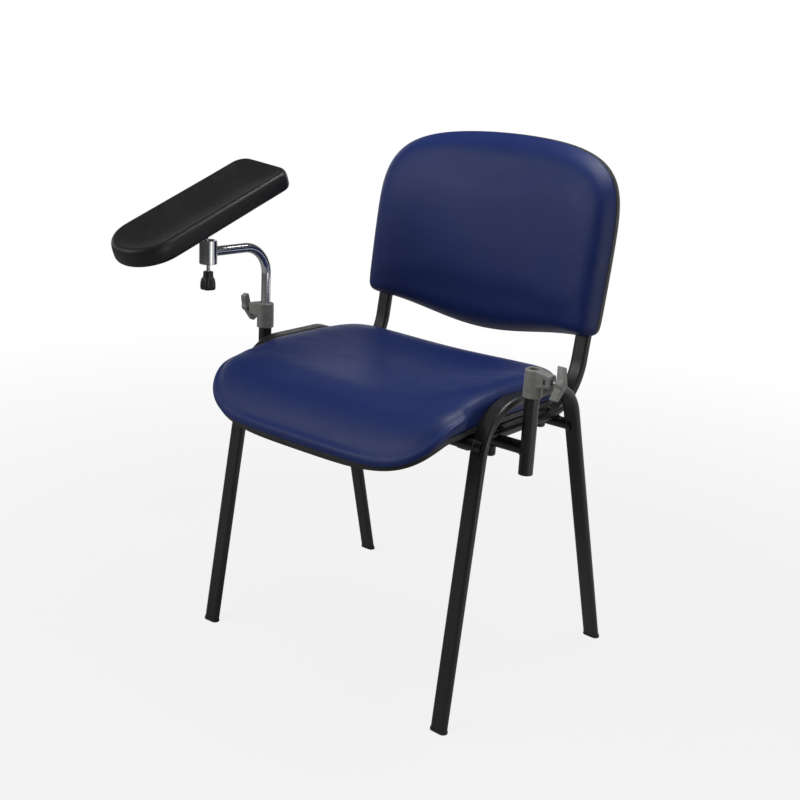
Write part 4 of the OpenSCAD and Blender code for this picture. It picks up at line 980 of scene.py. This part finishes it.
# Studio
# A plain pale floor runs out to a white backdrop, and both show in reflections on the far side. The
# ceiling and the room on the camera's side are dark. The light is three soft boxes and one strip.
FLOOR_HALF = 15
FLOOR_TONE = 0.32
SHADOW_SHARE = 0.15
SHADOW_NEAR, SHADOW_FAR = 0.75, 2.2
DARK_ROOM, DIM_SKY, CEILING = 0.07, 0.12, 0.1
BACKDROP_Z = (0.12, 0.5)
FAR_SIDE, FAR_FROM, FAR_TO, FAR_SHINE = (0.6, 0.8, 0.0), -0.1, 1.1, 0.75
TOWARDS_BACKDROP, BACKDROP_BLEND = (-0.6, 0.8, 0.0), 0.25
LAMPS = (("sky", (-900, -1400, 2200), (2.2, 2.2), 38, False),
         ("front", (-1300, -2500, 1700), (1.5, 1.5), 25, True),
         ("top", (330, 420, 1950), (0.8, 0.8), 17, True),
         ("strip", (2300, -260, 900), (0.45, 1.9), 12, True))
AIM = (0, 0, 520)


def largest(tree, *sockets):
    """The largest of several ray masks."""
    seen = sockets[0]
    for other in sockets[1:]:
        both = tree.nodes.new("ShaderNodeMath")
        both.operation = "MAXIMUM"
        tree.links.new(seen, both.inputs[0])
        tree.links.new(other, both.inputs[1])
        seen = both.outputs["Value"]
    return seen


floor_mesh = bpy.data.meshes.new("floor")
floor_mesh.from_pydata([(x * FLOOR_HALF, y * FLOOR_HALF, -0.0002)
                        for x, y in ((-1, -1), (1, -1), (1, 1), (-1, 1))], [], [(0, 1, 2, 3)])
floor = bpy.data.objects.new("floor", floor_mesh)
bpy.context.scene.collection.objects.link(floor)
floor_paint = bpy.data.materials.new("pale floor")
floor_paint.use_nodes = True
tree = floor_paint.node_tree
shader = tree.nodes["Principled BSDF"]
shader.inputs["Base Color"].default_value = (FLOOR_TONE, FLOOR_TONE, FLOOR_TONE, 1)
shader.inputs["Roughness"].default_value = 0.9
shader.inputs["Specular IOR Level"].default_value = 0.0
rays = add_node(tree, "LightPath").outputs
reach = tree.nodes.new("ShaderNodeVectorMath")
reach.operation = "DISTANCE"
tree.links.new(add_node(tree, "TexCoord").outputs["Object"], reach.inputs[0])
reach.inputs[1].default_value = datum
share = add_node(tree, "MapRange", Value=reach.outputs["Value"], From_Min=SHADOW_NEAR,
                 From_Max=SHADOW_FAR, To_Min=1 - SHADOW_SHARE, To_Max=1.0)
white = add_node(tree, "MapRange", To_Max=share.outputs["Result"], Value=largest(
    tree, rays["Is Camera Ray"], rays["Is Transmission Ray"]))
behind = tree.nodes.new("ShaderNodeVectorMath")
behind.operation = "DOT_PRODUCT"
tree.links.new(add_node(tree, "TexCoord").outputs["Object"], behind.inputs[0])
behind.inputs[1].default_value = FAR_SIDE
far_side = add_node(tree, "MapRange", Value=behind.outputs["Value"], From_Min=FAR_FROM,
                    From_Max=FAR_TO, To_Max=FAR_SHINE)
far_white = add_node(tree, "MapRange", Value=rays["Is Glossy Ray"],
                     To_Max=far_side.outputs["Result"])
blend = add_node(tree, "MixShader", Fac=largest(tree, white.outputs["Result"],
                                                far_white.outputs["Result"]))
tree.links.new(shader.outputs["BSDF"], blend.inputs[1])
tree.links.new(add_node(tree, "Emission", Strength=1.0).outputs["Emission"], blend.inputs[2])
tree.links.new(blend.outputs["Shader"], tree.nodes["Material Output"].inputs["Surface"])
floor.data.materials.append(floor_paint)

world = bpy.data.worlds.new("studio")
bpy.context.scene.world = world
world.use_nodes = True
tree = world.node_tree
sky = tree.nodes["Background"]
sky.inputs["Color"].default_value = (1, 1, 1, 1)
rays = add_node(tree, "LightPath").outputs
facing = tree.nodes.new("ShaderNodeVectorMath")
facing.operation = "DOT_PRODUCT"
tree.links.new(add_node(tree, "TexCoord").outputs["Generated"], facing.inputs[0])
facing.inputs[1].default_value = TOWARDS_BACKDROP
height = add_node(tree, "SeparateXYZ", Vector=add_node(tree, "TexCoord").outputs["Generated"])
backdrop = add_node(tree, "MapRange", Value=height.outputs["Z"], From_Min=BACKDROP_Z[0],
                    From_Max=BACKDROP_Z[1], To_Min=1.0, To_Max=CEILING)
around = add_node(tree, "MapRange", Value=facing.outputs["Value"], From_Min=-BACKDROP_BLEND,
                  From_Max=BACKDROP_BLEND, To_Min=DARK_ROOM, To_Max=backdrop.outputs["Result"])
mirrored = add_node(tree, "MapRange", Value=rays["Is Glossy Ray"], To_Min=DIM_SKY,
                    To_Max=around.outputs["Result"])
strength = add_node(tree, "MapRange", To_Min=mirrored.outputs["Result"], To_Max=1.0, Value=largest(
    tree, rays["Is Camera Ray"], rays["Is Transmission Ray"]))
tree.links.new(strength.outputs["Result"], sky.inputs["Strength"])

for name, place, size, watts, mirrored in LAMPS:
    lamp = bpy.data.lights.new(name, "AREA")
    lamp.shape = "RECTANGLE"
    lamp.size, lamp.size_y = size
    lamp.energy = watts
    holder = bpy.data.objects.new(name, lamp)
    holder.location = at_chair(*place)
    holder.visible_glossy = mirrored
    aim = at_chair(*AIM) - holder.location
    holder.rotation_euler = aim.to_track_quat("-Z", "Y").to_euler()
    bpy.context.scene.collection.objects.link(holder)
